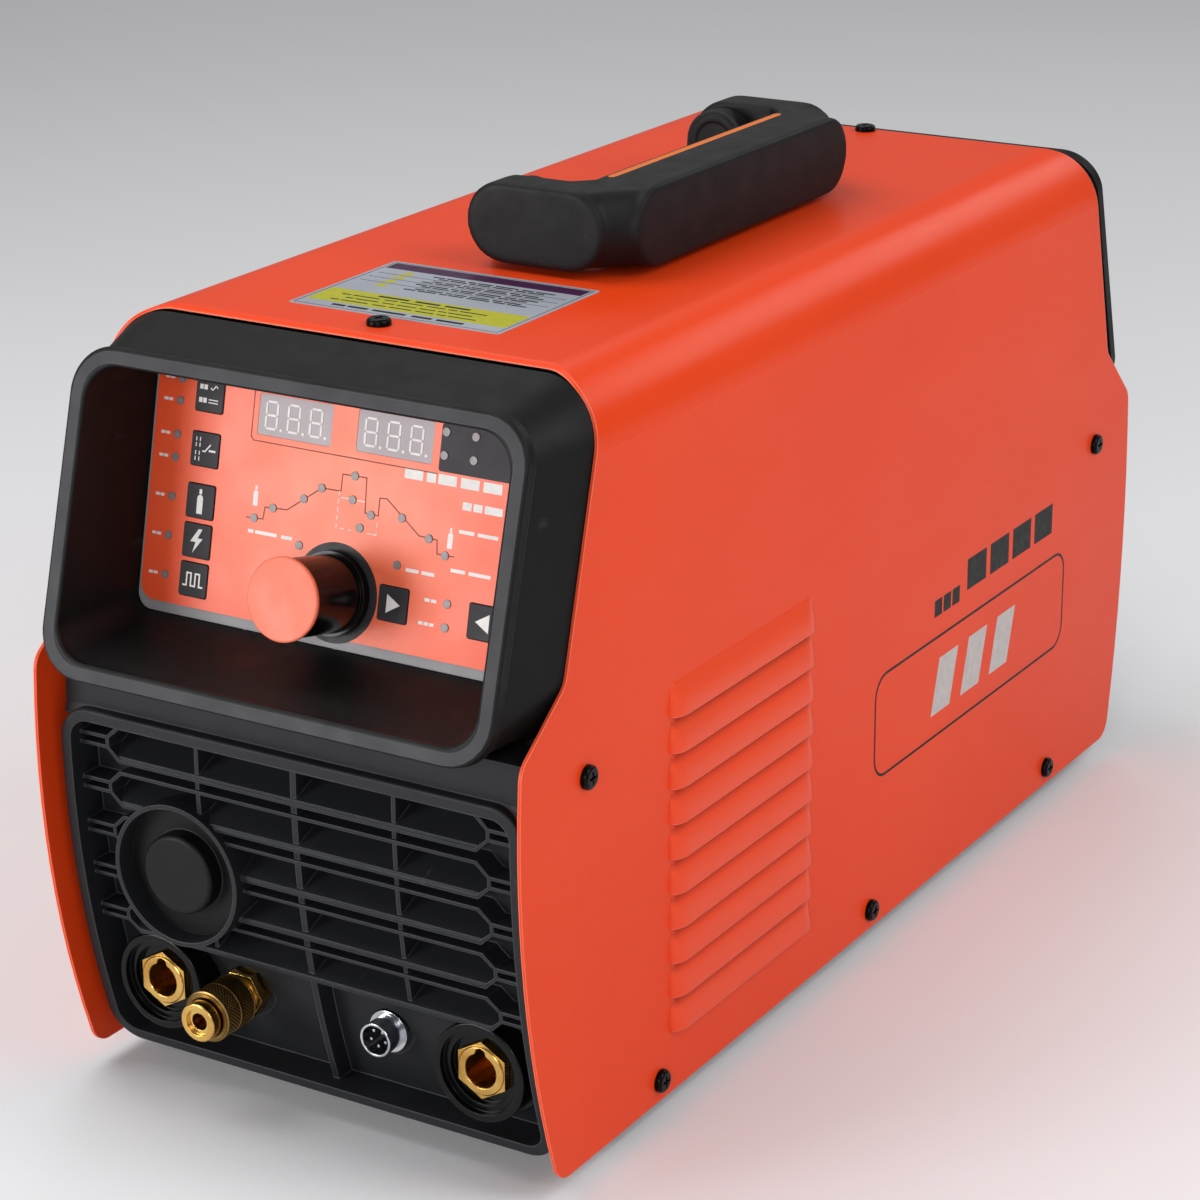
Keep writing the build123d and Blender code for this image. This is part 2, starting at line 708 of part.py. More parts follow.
plug_y = front_edge_y(plug_place[1], frame_inset + 1.5)
dinse_seat = (dinse_flange_radius + 0.3, 15.2)
socket_seats = [(-dinse_x, *dinse_seat), (dinse_x, *dinse_seat)]
socket_seats += [(gas_x, 9.8, 5.2), (signal_x, 8.4, 6.4)]
with BuildPart() as front_grille:
    add(frame_block.part)
    # The brow above the frame slopes back under the bezel.
    with BuildSketch(Plane.YZ.offset(-frame_half)):
        with BuildLine():
            Polyline(
                (front_edge_y(frame_high - 4, frame_inset + 3), frame_high - 4),
                (front_edge_y(frame_high, frame_inset + 4), frame_high),
                (-233, rim_foot_z - 3),
                (-216, rim_foot_z - 3),
                (-216, frame_high - 4),
                close=True,
            )
        make_face()
    extrude(amount=2 * frame_half)
    # The flange that fills the case section behind the frame.
    add(bowed_slab(front_edge_y, wall_inset, wall_back, sheet_bottom + 3, 161, inner_half - 0.2))
    add(recess_space.part, mode=Mode.SUBTRACT)
    add(slot_space.part, mode=Mode.SUBTRACT)
    add(slot_ribs.part)
    add(slot_vanes.part)
    add(upright_ribs.part)
    # The round boss for the blanked cable outlet.
    with BuildSketch(upright_plane(plug_y)):
        with Locations(plug_place):
            Circle(plug_ring_radius)
    extrude(amount=-14)
    with BuildSketch(upright_plane(plug_y)):
        with Locations(plug_place):
            Circle(plug_ring_radius - 1.6)
    extrude(amount=-9, mode=Mode.SUBTRACT)
    with BuildSketch(upright_plane(plug_y - 20)):
        with Locations(plug_place):
            Circle(plug_ring_radius - 1.6)
    extrude(amount=-20, mode=Mode.SUBTRACT)
    with BuildSketch(upright_plane(plug_y)):
        with Locations(plug_place):
            Circle(9)
    extrude(amount=-30, mode=Mode.SUBTRACT)
    # Flat seats and holes for the sockets in the bowed wall.
    for x, seat_radius, hole_radius in socket_seats:
        seat = (x, socket_z)
        add(ring(upright_plane(recess_wall_y), seat, seat_radius + 1, 0, -wall_thickness))
        add(ring(upright_plane(recess_wall_y), seat, seat_radius, 0, 30), mode=Mode.SUBTRACT)
        back_face = upright_plane(recess_wall_y + wall_thickness)
        add(ring(back_face, seat, seat_radius, 0, -20), mode=Mode.SUBTRACT)
        add(ring(upright_plane(recess_wall_y - 5), seat, hole_radius, 0, -20), mode=Mode.SUBTRACT)
front_grille.part.label = "front_grille"
export_step(front_grille.part, "parts/front_grille.step")

with BuildPart() as outlet_plug:
    with BuildSketch(upright_plane(plug_y + 9)):
        with Locations(plug_place):
            Circle(plug_ring_radius - 1.7)
    extrude(amount=1.6)
    with BuildSketch(upright_plane(plug_y + 7.4)):
        with Locations(plug_place):
            Circle(plug_disc_radius)
    extrude(amount=6.6)
    disc_edge = outlet_plug.edges().filter_by(GeomType.CIRCLE).sort_by(Axis.Y)[0]
    fillet(disc_edge, 1.6)
    with BuildSketch(upright_plane(plug_y + 9)):
        with Locations(plug_place):
            Circle(8.9)
            Circle(7.2, mode=Mode.SUBTRACT)
    extrude(amount=-9)
outlet_plug.part.label = "outlet_plug"
export_step(outlet_plug.part, "parts/outlet_plug.step")


# ---------------------------------------------------------------- weld current sockets
hex_depth = 10.0
barrel_radius = 9.0
barrel_length = 52.0


def socket_insulator(place):
    """The black flanged bush of a weld current socket."""
    with BuildPart() as insulator:
        add(ring(upright_plane(socket_face_y), place, dinse_flange_radius, 0, socket_face_y - recess_wall_y))
        fillet(insulator.edges().filter_by(GeomType.CIRCLE).sort_by(Axis.Y)[0], 0.8)
        add(ring(upright_plane(recess_wall_y), place, 15.0, 0, -24))
        add(ring(upright_plane(socket_face_y), place, 15.6, 0, -2.5), mode=Mode.SUBTRACT)
        add(ring(upright_plane(socket_face_y), place, 13.0, 0, -5.0), mode=Mode.SUBTRACT)
        with BuildSketch(upright_plane(socket_face_y)):
            with Locations(place):
                RegularPolygon(dinse_hex_radius + 0.15, 6, rotation=30)
        extrude(amount=-(2 + hex_depth), mode=Mode.SUBTRACT)
        add(ring(upright_plane(socket_face_y), place, barrel_radius + 0.1, 0, -80), mode=Mode.SUBTRACT)
    return insulator.part


def socket_contact(place):
    """The brass hexagon and barrel of a weld current socket, with its keyed bore."""
    with BuildPart() as contact:
        with BuildSketch(upright_plane(socket_face_y + 2)):
            with Locations(place):
                RegularPolygon(dinse_hex_radius, 6, rotation=30)
        extrude(amount=-hex_depth)
        add(ring(upright_plane(socket_face_y + 2), place, barrel_radius, 0, -barrel_length))
        add(ring(upright_plane(socket_face_y + 2 + barrel_length), place, 5, 0, -16))
        chamfer(contact.edges().filter_by(GeomType.CIRCLE).sort_by(Axis.Y)[-1], 0.8)
        add(ring(upright_plane(socket_face_y), place, dinse_bore_radius, 0, -34), mode=Mode.SUBTRACT)
        with BuildSketch(upright_plane(socket_face_y)):
            with Locations((place[0], socket_z + dinse_bore_radius)):
                Rectangle(4.6, 4.0)
        extrude(amount=-14, mode=Mode.SUBTRACT)
    return contact.part


socket_places = [(-dinse_x, socket_z), (dinse_x, socket_z)]

with BuildPart() as socket_insulators:
    for place in socket_places:
        add(socket_insulator(place))
socket_insulators.part.label = "socket_insulators"
export_step(socket_insulators.part, "parts/socket_insulators.step")

with BuildPart() as socket_contacts:
    for place in socket_places:
        add(socket_contact(place))
socket_contacts.part.label = "socket_contacts"
export_step(socket_contacts.part, "parts/socket_contacts.step")


def hex_nut(plane, place, corner_radius, bore_radius, depth):
    """A plain hexagon nut."""
    with BuildPart() as nut:
        with BuildSketch(plane):
            with Locations(place):
                RegularPolygon(corner_radius, 6)
                Circle(bore_radius, mode=Mode.SUBTRACT)
        extrude(amount=depth)
    return nut.part


with BuildPart() as socket_nuts:
    for place in socket_places:
        add(hex_nut(upright_plane(recess_wall_y + 25), place, 16, barrel_radius + 0.1, -6))
        add(hex_nut(upright_plane(socket_face_y + 4 + barrel_length), place, 9, 5.1, -6))
    gas_nut_plane = upright_plane(recess_wall_y + wall_thickness + 0.3)
    add(hex_nut(gas_nut_plane, (gas_x, socket_z), 8.5, 5.05, -4))
socket_nuts.part.label = "socket_nuts"
export_step(socket_nuts.part, "parts/socket_nuts.step")

# ---------------------------------------------------------------- shielding gas outlet
gas_place = (gas_x, socket_z)
gas_front_y = -244.0
sleeve_front_y = -239.0
sleeve_length = 17.0
sleeve_radius = 9.6
sleeve_bore = 6.9
gas_bore_radius = 3.2

with BuildPart() as gas_coupler:
    add(ring(upright_plane(gas_front_y), gas_place, 7.2, 0, -4))
    add(ring(upright_plane(gas_front_y), gas_place, sleeve_bore - 0.15, 0, -30))
    with BuildSketch(upright_plane(recess_wall_y - 6.2)):
        with Locations(gas_place):
            RegularPolygon(9.2, 6)
    extrude(amount=-6)
    add(ring(upright_plane(recess_wall_y - 1), gas_place, 5.0, 0, -34))
    fillet(gas_coupler.edges().filter_by(GeomType.CIRCLE).sort_by(Axis.Y)[0], 0.6)
    add(ring(upright_plane(gas_front_y - 1), gas_place, gas_bore_radius, 0, -17), mode=Mode.SUBTRACT)
    add(ring(upright_plane(gas_front_y - 1), gas_place, 1.6, 0, -80), mode=Mode.SUBTRACT)
    add(ring(upright_plane(gas_front_y - 1), gas_place, 4.9, 0, -2.2), mode=Mode.SUBTRACT)
gas_coupler.part.label = "gas_coupler"
export_step(gas_coupler.part, "parts/gas_coupler.step")

with BuildPart() as gas_sleeve:
    add(ring(upright_plane(sleeve_front_y), gas_place, sleeve_radius, 0, -sleeve_length))
    chamfer(gas_sleeve.edges().filter_by(GeomType.CIRCLE), 0.8)
    groove = ring(upright_plane(sleeve_front_y + 6.5), gas_place, sleeve_radius + 1, sleeve_radius - 0.7, -1.6)
    bore = ring(upright_plane(sleeve_front_y - 1), gas_place, sleeve_bore, 0, -sleeve_length - 2)
    add(groove, mode=Mode.SUBTRACT)
    add(bore, mode=Mode.SUBTRACT)
gas_sleeve.part.label = "gas_sleeve"
export_step(gas_sleeve.part, "parts/gas_sleeve.step")

# ---------------------------------------------------------------- remote control socket
signal_place = (signal_x, socket_z)
signal_front_y = recess_wall_y - 10.5

with BuildPart() as signal_shell:
    add(ring(upright_plane(signal_front_y), signal_place, 6.3, 0, -30))
    add(ring(upright_plane(recess_wall_y - 2.6), signal_place, 7.8, 0, -2.4))
    add(ring(upright_plane(signal_front_y), signal_place, 5.3, 0, -30), mode=Mode.SUBTRACT)
    fillet(signal_shell.edges().filter_by(GeomType.CIRCLE).sort_by(Axis.Y)[:2], 0.3)
signal_shell.part.label = "signal_shell"
export_step(signal_shell.part, "parts/signal_shell.step")

with BuildPart() as signal_pins:
    for turn in range(5):
        angle = radians(54 + 72 * turn)
        spot = (signal_x + 3.1 * cos(angle), socket_z + 3.1 * sin(angle))
        add(ring(upright_plane(signal_front_y + 2), spot, 0.55, 0, -22))
signal_pins.part.label = "signal_pins"
export_step(signal_pins.part, "parts/signal_pins.step")
with BuildPart() as signal_insert:
    add(ring(upright_plane(signal_front_y + 7), signal_place, 5.25, 0, -14))
    add(signal_pins.part, mode=Mode.SUBTRACT)
signal_insert.part.label = "signal_insert"
export_step(signal_insert.part, "parts/signal_insert.step")

# ---------------------------------------------------------------- carrying handle
arm_front_inner_y = handle_front_y + arm_depth
arm_rear_inner_y = handle_rear_y - arm_depth
drum_front_y = arm_front_inner_y + side_gap
drum_rear_y = arm_rear_inner_y - side_gap
bridge_high = case_top + 12.5

with BuildPart() as handle_mount:
    # Two upright lugs with round tops, joined by a low crowned bridge.
    for y in (drum_front_y, drum_rear_y - drum_depth):
        with BuildSketch(Plane.XZ.offset(-y)):
            with Locations((pivot_x, pivot_z)):
                Circle(drum_radius)
            with BuildLine():
                Polyline(
                    (pivot_x - drum_radius, pivot_z),
                    (pivot_x - drum_radius - 1.5, case_top),
                    (pivot_x + drum_radius + 1.5, case_top),
                    (pivot_x + drum_radius, pivot_z),
                    close=True,
                )
            make_face()
        extrude(amount=-drum_depth)
    with BuildSketch(Plane.YZ.offset(pivot_x - drum_radius - 0.5)):
        with BuildLine():
            Line((drum_front_y, case_top), (drum_rear_y, case_top))
            Line((drum_rear_y, case_top), (drum_rear_y, case_top + 9))
            ThreePointArc((drum_rear_y, case_top + 9), (-2, bridge_high), (drum_front_y, case_top + 9))
            Line((drum_front_y, case_top + 9), (drum_front_y, case_top))
        make_face()
    extrude(amount=2 * drum_radius + 4)
    bridge_ridges = handle_mount.edges().filter_by(GeomType.CIRCLE).filter_by(lambda e: e.length > 100)
    fillet(bridge_ridges, 4)
    for y in (drum_front_y, drum_rear_y):
        with BuildSketch(Plane.XZ.offset(-y)):
            with Locations((pivot_x, pivot_z)):
                Circle(pin_radius)
        extrude(amount=drum_depth * 2, both=True, mode=Mode.SUBTRACT)
    with BuildSketch(Plane.XY.offset(case_top - 1)):
        with Locations((pivot_x + 3, -48), (pivot_x + 3, 48)):
            Circle(thread_radius)
    extrude(amount=9, mode=Mode.SUBTRACT)
handle_mount.part.label = "handle_mount"
export_step(handle_mount.part, "parts/handle_mount.step")

with BuildPart() as handle_screws:
    with Locations(*[Location((pivot_x + 3, y, inner_top), (180, 0, 0)) for y in (-48, 48)]):
        add(pan_screw(7.5))
handle_screws.part.label = "handle_screws"
export_step(handle_screws.part, "parts/handle_screws.step")

with BuildPart() as handle_grip:
    with BuildSketch(Plane.XY.offset(pivot_z - arm_radius)):
        with BuildLine():
            Polyline(
                (pivot_x - arm_radius, handle_front_y),
                (37.0, handle_front_y),
                (grip_face_x, handle_front_y + 15),
                (grip_face_x, handle_rear_y - 15),
                (37.0, handle_rear_y),
                (pivot_x - arm_radius, handle_rear_y),
                (pivot_x - arm_radius, arm_rear_inner_y),
                (grip_inner_x - 8, arm_rear_inner_y),
                (grip_inner_x, arm_rear_inner_y - 9),
                (grip_inner_x, arm_front_inner_y + 9),
                (grip_inner_x - 8, arm_front_inner_y),
                (pivot_x - arm_radius, arm_front_inner_y),
                close=True,
            )
        make_face()
    extrude(amount=2 * arm_radius)
    with BuildSketch(Plane.XZ.offset(-handle_rear_y - 1)):
        with Locations(((pivot_x + 37.5) / 2, pivot_z)):
            SlotCenterToCenter(37.5 - pivot_x, 2 * arm_radius)
    extrude(amount=handle_rear_y - handle_front_y + 2, mode=Mode.INTERSECT)
    for y in (arm_front_inner_y, arm_rear_inner_y):
        with BuildSketch(Plane.XZ.offset(-y)):
            with Locations((pivot_x, pivot_z)):
                Circle(pin_radius + running_gap)
        extrude(amount=10, both=True, mode=Mode.SUBTRACT)
    # A groove for the coloured strip along the grip's upper inside edge.
    with BuildSketch(Plane.XY.offset(pivot_z + arm_radius)):
        with Locations((25.5, -2)):
            SlotOverall(126, 3.0, rotation=90)
    extrude(amount=-1.2, mode=Mode.SUBTRACT)
handle_grip.part.label = "handle_grip"
export_step(handle_grip.part, "parts/handle_grip.step")

with BuildPart() as handle_strip:
    with BuildSketch(Plane.XY.offset(pivot_z + arm_radius - 1.2)):
        with Locations((25.5, -2)):
            SlotOverall(125.8, 2.8, rotation=90)
    extrude(amount=1.3)
handle_strip.part.label = "handle_strip"
export_step(handle_strip.part, "parts/handle_strip.step")

with BuildPart() as handle_pins:
    for y in (arm_front_inner_y, arm_rear_inner_y):
        with BuildSketch(Plane.XZ.offset(-y)):
            with Locations((pivot_x, pivot_z)):
                Circle(pin_radius)
        extrude(amount=8.2, both=True)
handle_pins.part.label = "handle_pins"
export_step(handle_pins.part, "parts/handle_pins.step")

with BuildPart() as top_label:
    with BuildSketch(Plane.XY.offset(case_top)):
        with Locations((-1.2, -131.5)):
            RectangleRounded(86.5, 65, 1)
    extrude(amount=0.2)
top_label.part.label = "top_label"
export_step(top_label.part, "parts/top_label.step")

# ---------------------------------------------------------------- lower rear moulding
rear_wall_y = 221.0
rear_wall_inner_y = rear_wall_y - wall_thickness
fan_z = 84.5
fan_side = 119.0
fan_depth = 38.0
fan_bore_radius = 57.5
fan_screw_offset = 52.5
gland_place = (76.0, 110.0)
inlet_place = (-76.0, 110.0)
earth_place = (-78.0, 36.0)
earth_radius = 3.0
earth_shank = 2.5  # turned down where the stud passes the nut and the wall
earth_reach = 7.5
fan_sides = (-fan_screw_offset, fan_screw_offset)
fan_corners = [(x, fan_z + z) for x in fan_sides for z in fan_sides]

with BuildPart() as rear_frame:
    with BuildSketch(Plane.YZ.offset(-frame_half)):
        with BuildLine():
            ThreePointArc(*bowed_points(rear_edge_y, frame_low, frame_high, frame_inset))
            Polyline(
                (rear_edge_y(frame_high, frame_inset), frame_high),
                (rear_wall_inner_y, frame_high),
                (rear_wall_inner_y, frame_low),
                (rear_edge_y(frame_low, frame_inset), frame_low),
            )
        make_face()
    extrude(amount=2 * frame_half)
    add(
        rounded_bar(upright_plane(260), frame_low, frame_high, frame_half, frame_corner, slab_reach),
        mode=Mode.INTERSECT,
    )
    fillet(rear_frame.faces().filter_by(GeomType.CYLINDER).sort_by(Axis.Y)[-1].edges(), 1.0)

with BuildPart() as rear_panel:
    add(rear_frame.part)
    with BuildSketch(Plane.YZ.offset(-frame_half)):
        with BuildLine():
            Polyline(
                (rear_edge_y(frame_high, frame_inset + 4), frame_high),
                (rear_wall_inner_y, frame_high),
                (rear_wall_inner_y, rim_foot_z - 3),
                (233, rim_foot_z - 3),
                close=True,
            )
        make_face()
    extrude(amount=2 * frame_half)
    opening = rounded_bar(upright_plane(260), opening_low, opening_high, opening_half, opening_corner, 39.0)
    add(opening, mode=Mode.SUBTRACT)
    with BuildSketch(upright_plane(rear_wall_y)):
        with Locations((0, (tray_top + rim_foot_z) / 2 - 1.5)):
            Rectangle(2 * inner_half - 0.4, rim_foot_z - tray_top - 4)
    extrude(amount=wall_thickness)
    rear_holes = [(0, fan_z, fan_bore_radius), (*gland_place, 10.1), (*inlet_place, 5.1), (*earth_place, 3.1)]
    for x, z, radius in rear_holes:
        add(ring(upright_plane(rear_wall_y + 1), (x, z), radius, 0, 10), mode=Mode.SUBTRACT)
    for place in fan_corners:
        add(ring(upright_plane(rear_wall_y + 1), place, 2.2, 0, 10), mode=Mode.SUBTRACT)
rear_panel.part.label = "rear_panel"
export_step(rear_panel.part, "parts/rear_panel.step")

# ---------------------------------------------------------------- cooling fan
fan_rear_y = rear_wall_inner_y
fan_front_y = fan_rear_y - fan_depth
hub_radius = 20.0
blade_count = 7
blade_reach = 35.5
spindle_radius = 2.5

with BuildPart() as fan_frame:
    with BuildSketch(upright_plane(fan_rear_y)):
        with Locations((0, fan_z)):
            RectangleRounded(fan_side, fan_side, 5)
            Circle(fan_bore_radius, mode=Mode.SUBTRACT)
        with Locations(*fan_corners):
            Circle(2.2, mode=Mode.SUBTRACT)
    extrude(amount=fan_depth)
    with BuildSketch(upright_plane(fan_front_y + 4)):
        with Locations((0, fan_z)):
            Circle(19)
            Rectangle(2 * fan_bore_radius + 1, 6)
            Rectangle(6, 2 * fan_bore_radius + 1)
    extrude(amount=4)
    add(ring(upright_plane(fan_front_y + 29), (0, fan_z), spindle_radius, 0, 29))
fan_frame.part.label = "fan_frame"
export_step(fan_frame.part, "parts/fan_frame.step")

with BuildPart() as fan_rotor:
    add(ring(upright_plane(fan_front_y + 32), (0, fan_z), hub_radius, 0, 27))
    fillet(fan_rotor.edges().filter_by(GeomType.CIRCLE).sort_by(Axis.Y)[-1], 2)
    add(ring(upright_plane(fan_front_y + 30), (0, fan_z), spindle_radius + 0.06, 0, 40), mode=Mode.SUBTRACT)
    for turn in range(blade_count):
        with Locations(Location((0, fan_front_y + 18.5, fan_z), (0, turn * 360 / blade_count, 0))):
            with Locations(Location((hub_radius + blade_reach / 2 - 1, 0, 0), (38, 0, 0))):
                Box(blade_reach, 24, 1.8)
fan_rotor.part.label = "fan_rotor"
export_step(fan_rotor.part, "parts/fan_rotor.step")

guard_wire = 1.1
with BuildPart() as fan_guard:
    for wire_radius in (12, 23, 34, 45, 56):
        with Locations(Location((0, rear_wall_y + 4.4, fan_z), (90, 0, 0))):
            Torus(wire_radius, guard_wire)
    for angle in (45, 135):
        with Locations(Location((0, rear_wall_y + 2.8, fan_z), (0, angle, 0))):
            Cylinder(guard_wire, 2 * fan_screw_offset * sqrt(2) - 9.3)
    for place in fan_corners:
        add(ring(upright_plane(rear_wall_y + 3.4), place, 5.0, 2.2, 2.2))
fan_guard.part.label = "fan_guard"
export_step(fan_guard.part, "parts/fan_guard.step")

with BuildPart() as fan_screws:
    with Locations(*[Location((x, rear_wall_y + 3.4, z), (-90, 0, 0)) for x, z in fan_corners]):
        add(pan_screw(26.0))
fan_screws.part.label = "fan_screws"
export_step(fan_screws.part, "parts/fan_screws.step")

# ---------------------------------------------------------------- rear connections
with BuildPart() as cable_gland:
    with BuildSketch(upright_plane(rear_wall_y + 6)):
        with Locations(gland_place):
            RegularPolygon(13.5, 6)
    extrude(amount=6)
    add(ring(upright_plane(rear_wall_y + 20), gland_place, 11.2, 0, 14))
    fillet(cable_gland.edges().filter_by(GeomType.CIRCLE).sort_by(Axis.Y)[-1], 3.5)
    add(ring(upright_plane(rear_wall_y), gland_place, 10.0, 0, 14))
    add(ring(upright_plane(rear_wall_y + 30), gland_place, 5.0, 0, 60), mode=Mode.SUBTRACT)
cable_gland.part.label = "cable_gland"
export_step(cable_gland.part, "parts/cable_gland.step")

inlet_reach = 24.0
valve_rear_y = 200.0
with BuildPart() as gas_inlet:
    with BuildSketch(upright_plane(rear_wall_y + 5)):
        with Locations(inlet_place):
            RegularPolygon(9.5, 6)
    extrude(amount=5)
    add(ring(upright_plane(rear_wall_y + inlet_reach), inlet_place, 4.0, 0, inlet_reach - 1))
    for step in (9, 13, 17):
        add(ring(upright_plane(rear_wall_y + step), inlet_place, 4.7, 0, 1.6))
    add(ring(upright_plane(rear_wall_y), inlet_place, 5.0, 0, rear_wall_y - valve_rear_y))
    add(ring(upright_plane(rear_wall_y + 40), inlet_place, 2.4, 0, 80), mode=Mode.SUBTRACT)
gas_inlet.part.label = "gas_inlet"
export_step(gas_inlet.part, "parts/gas_inlet.step")

with BuildPart() as earth_stud:
    add(ring(upright_plane(rear_wall_y + 14), earth_place, earth_radius, 0, earth_reach))
    add(ring(upright_plane(rear_wall_y + 14), earth_place, earth_shank, 0, 22))
    with BuildSketch(upright_plane(rear_wall_inner_y)):
        with Locations(earth_place):
            RegularPolygon(5.7, 6)
    extrude(amount=4)
earth_stud.part.label = "earth_stud"
export_step(earth_stud.part, "parts/earth_stud.step")

with BuildPart() as rear_nuts:
    add(hex_nut(upright_plane(rear_wall_inner_y), gland_place, 13.5, 10.05, 5))
    add(ring(upright_plane(rear_wall_y + 1.2), earth_place, 6.2, earth_shank + 0.05, 1.2))
    add(hex_nut(upright_plane(rear_wall_y + 6.2), earth_place, 5.7, earth_shank + 0.05, 5))
rear_nuts.part.label = "rear_nuts"
export_step(rear_nuts.part, "parts/rear_nuts.step")

# ---------------------------------------------------------------- rear plate and power switch
switch_place = (48.0, 56.0)
switch_size = (22.0, 30.0)
rocker_radius = 8.6
rocker_width = 13.0
rocker_tilt = 10.0

with BuildPart() as rear_plate:
    with BuildSketch(rear_plate_plane):
        with Locations((0, panel_middle)):
            RectangleRounded(panel_width, panel_high - panel_low, 6)
    extrude(amount=-panel_thickness)
    cutout = [side - 3 for side in switch_size]
    extrude(
        rounded_tiles(rear_plate_plane.offset(1), [switch_place], cutout, 1),
        amount=-5,
        mode=Mode.SUBTRACT,
    )
rear_plate.part.label = "rear_plate"
export_step(rear_plate.part, "parts/rear_plate.step")

rocker_plane = Plane(
    origin=rear_plate_plane.from_local_coords((*switch_place, 0)),
    x_dir=rear_plate_plane.y_dir,
    z_dir=rear_plate_plane.x_dir,
)

with BuildPart() as power_switch:
    extrude(rounded_tiles(rear_plate_plane, [switch_place], switch_size, 2), amount=2)
    body_size = [side - 3.4 for side in switch_size]
    extrude(rounded_tiles(rear_plate_plane, [switch_place], body_size, 1), amount=-20)
    with BuildSketch(rocker_plane.offset(-rocker_width / 2 - side_gap)):
        Circle(rocker_radius + 0.3)
    extrude(amount=rocker_width + 2 * side_gap, mode=Mode.SUBTRACT)
power_switch.part.label = "power_switch"
export_step(power_switch.part, "parts/power_switch.step")

with BuildPart() as power_rocker:
    with BuildSketch(rocker_plane.offset(-rocker_width / 2)):
        Circle(rocker_radius)
        with Locations(Location((0, 0, 0), rocker_tilt)):
            with BuildLine():
                Polyline((0, 2.6), (-12, 6.6), (-12, 20), (12, 20), (12, 6.6), close=True)
            make_face(mode=Mode.SUBTRACT)
    extrude(amount=rocker_width)
power_rocker.part.label = "power_rocker"
export_step(power_rocker.part, "parts/power_rocker.step")

# ---------------------------------------------------------------- power electronics
board_z = 132.0
board_x = (-50.0, 86.0)
board_y = (-140.0, 150.0)
board_middle = ((board_x[0] + board_x[1]) / 2, (board_y[0] + board_y[1]) / 2)
board_size = (board_x[1] - board_x[0], board_y[1] - board_y[0])
board_thickness = 1.6
sink_middles = (-20.0, 46.0)
pillar_spots = [(x, y) for x in (board_x[0] + 6, board_x[1] - 6) for y in (board_y[0] + 6, board_y[1] - 6)]

with BuildPart() as power_board:
    with BuildSketch(Plane.XY.offset(board_z)):
        with Locations(board_middle):
            Rectangle(*board_size)
        with Locations(*pillar_spots):
            Circle(1.6, mode=Mode.SUBTRACT)
    extrude(amount=board_thickness)
    # Switching transistors under the board, clamped to the heat sinks.
    with BuildSketch(Plane.XY.offset(board_z)):
        for x in sink_middles:
            with Locations((x, 75)):
                with GridLocations(28, 30, 2, 4):
                    Rectangle(16, 20)
    extrude(amount=-5)
power_board.part.label = "power_board"
export_step(power_board.part, "parts/power_board.step")

with BuildPart() as board_pillars:
    with BuildSketch(Plane.XY.offset(tray_floor)):
        with Locations(*pillar_spots):
            RegularPolygon(4.5, 6)
    extrude(amount=board_z - tray_floor)
board_pillars.part.label = "board_pillars"
export_step(board_pillars.part, "parts/board_pillars.step")

capacitor_spots = [(x, y) for x in (0.0, 44.0) for y in (40.0, 84.0)]
with BuildPart() as capacitors:
    with BuildSketch(Plane.XY.offset(board_z + board_thickness)):
        with Locations(*capacitor_spots):
            Circle(17.5)
    extrude(amount=52)
    fillet(capacitors.edges().filter_by(GeomType.CIRCLE).group_by(Axis.Z)[-1], 1.5)
capacitors.part.label = "capacitors"
export_step(capacitors.part, "parts/capacitors.step")

fin_count = 9
with BuildPart() as heat_sinks:
    for middle_x in sink_middles:
        with BuildSketch(upright_plane(135)):
            with Locations((middle_x, 124.5)):
                Rectangle(54, 5)
            with Locations((middle_x, 101)):
                with GridLocations(52 / (fin_count - 1), 1, fin_count, 1):
                    Rectangle(1.8, 44)
        extrude(amount=135)
heat_sinks.part.label = "heat_sinks"
export_step(heat_sinks.part, "parts/heat_sinks.step")

with BuildPart() as transformer_core:
    with BuildSketch(upright_plane(-4)):
        with Locations((16, 46)):
            Rectangle(76, 60)
        with Locations((16 - 20, 46), (16 + 20, 46)):
            Rectangle(18, 36, mode=Mode.SUBTRACT)
    extrude(amount=44)
    with BuildSketch(Plane.XY.offset(tray_floor)):
        with Locations((16, -26)):
            Rectangle(76, 44)
    extrude(amount=16 - tray_floor)
transformer_core.part.label = "transformer_core"
export_step(transformer_core.part, "parts/transformer_core.step")

with BuildPart() as transformer_winding:
    with BuildSketch(Plane.XY.offset(30)):
        with Locations((16, -26)):
            RectangleRounded(56, 76, 8)
            Rectangle(22.4, 44.4, mode=Mode.SUBTRACT)
    extrude(amount=32)
transformer_winding.part.label = "transformer_winding"
export_step(transformer_winding.part, "parts/transformer_winding.step")

with BuildPart() as output_choke:
    with Locations((46, -104, tray_floor + 15)):
        Torus(24, 15)
    with BuildSketch(Plane.XY.offset(tray_floor)):
        with Locations((46, -104)):
            Circle(30)
            Circle(16, mode=Mode.SUBTRACT)
    extrude(amount=6)
output_choke.part.label = "output_choke"
export_step(output_choke.part, "parts/output_choke.step")

# ---------------------------------------------------------------- internal gas line
valve_length = 34.0
valve_front_y = valve_rear_y - valve_length
valve_x, valve_z = inlet_place
with BuildPart() as gas_valve:
    with Locations((valve_x, valve_rear_y - valve_length / 2, valve_z)):
        Box(24, valve_length, 24)
    with Locations((valve_x, valve_rear_y - valve_length / 2, valve_z + 12)):
        Cylinder(10.5, 30, align=(Align.CENTER, Align.CENTER, Align.MIN))
gas_valve.part.label = "gas_valve"
export_step(gas_valve.part, "parts/gas_valve.step")

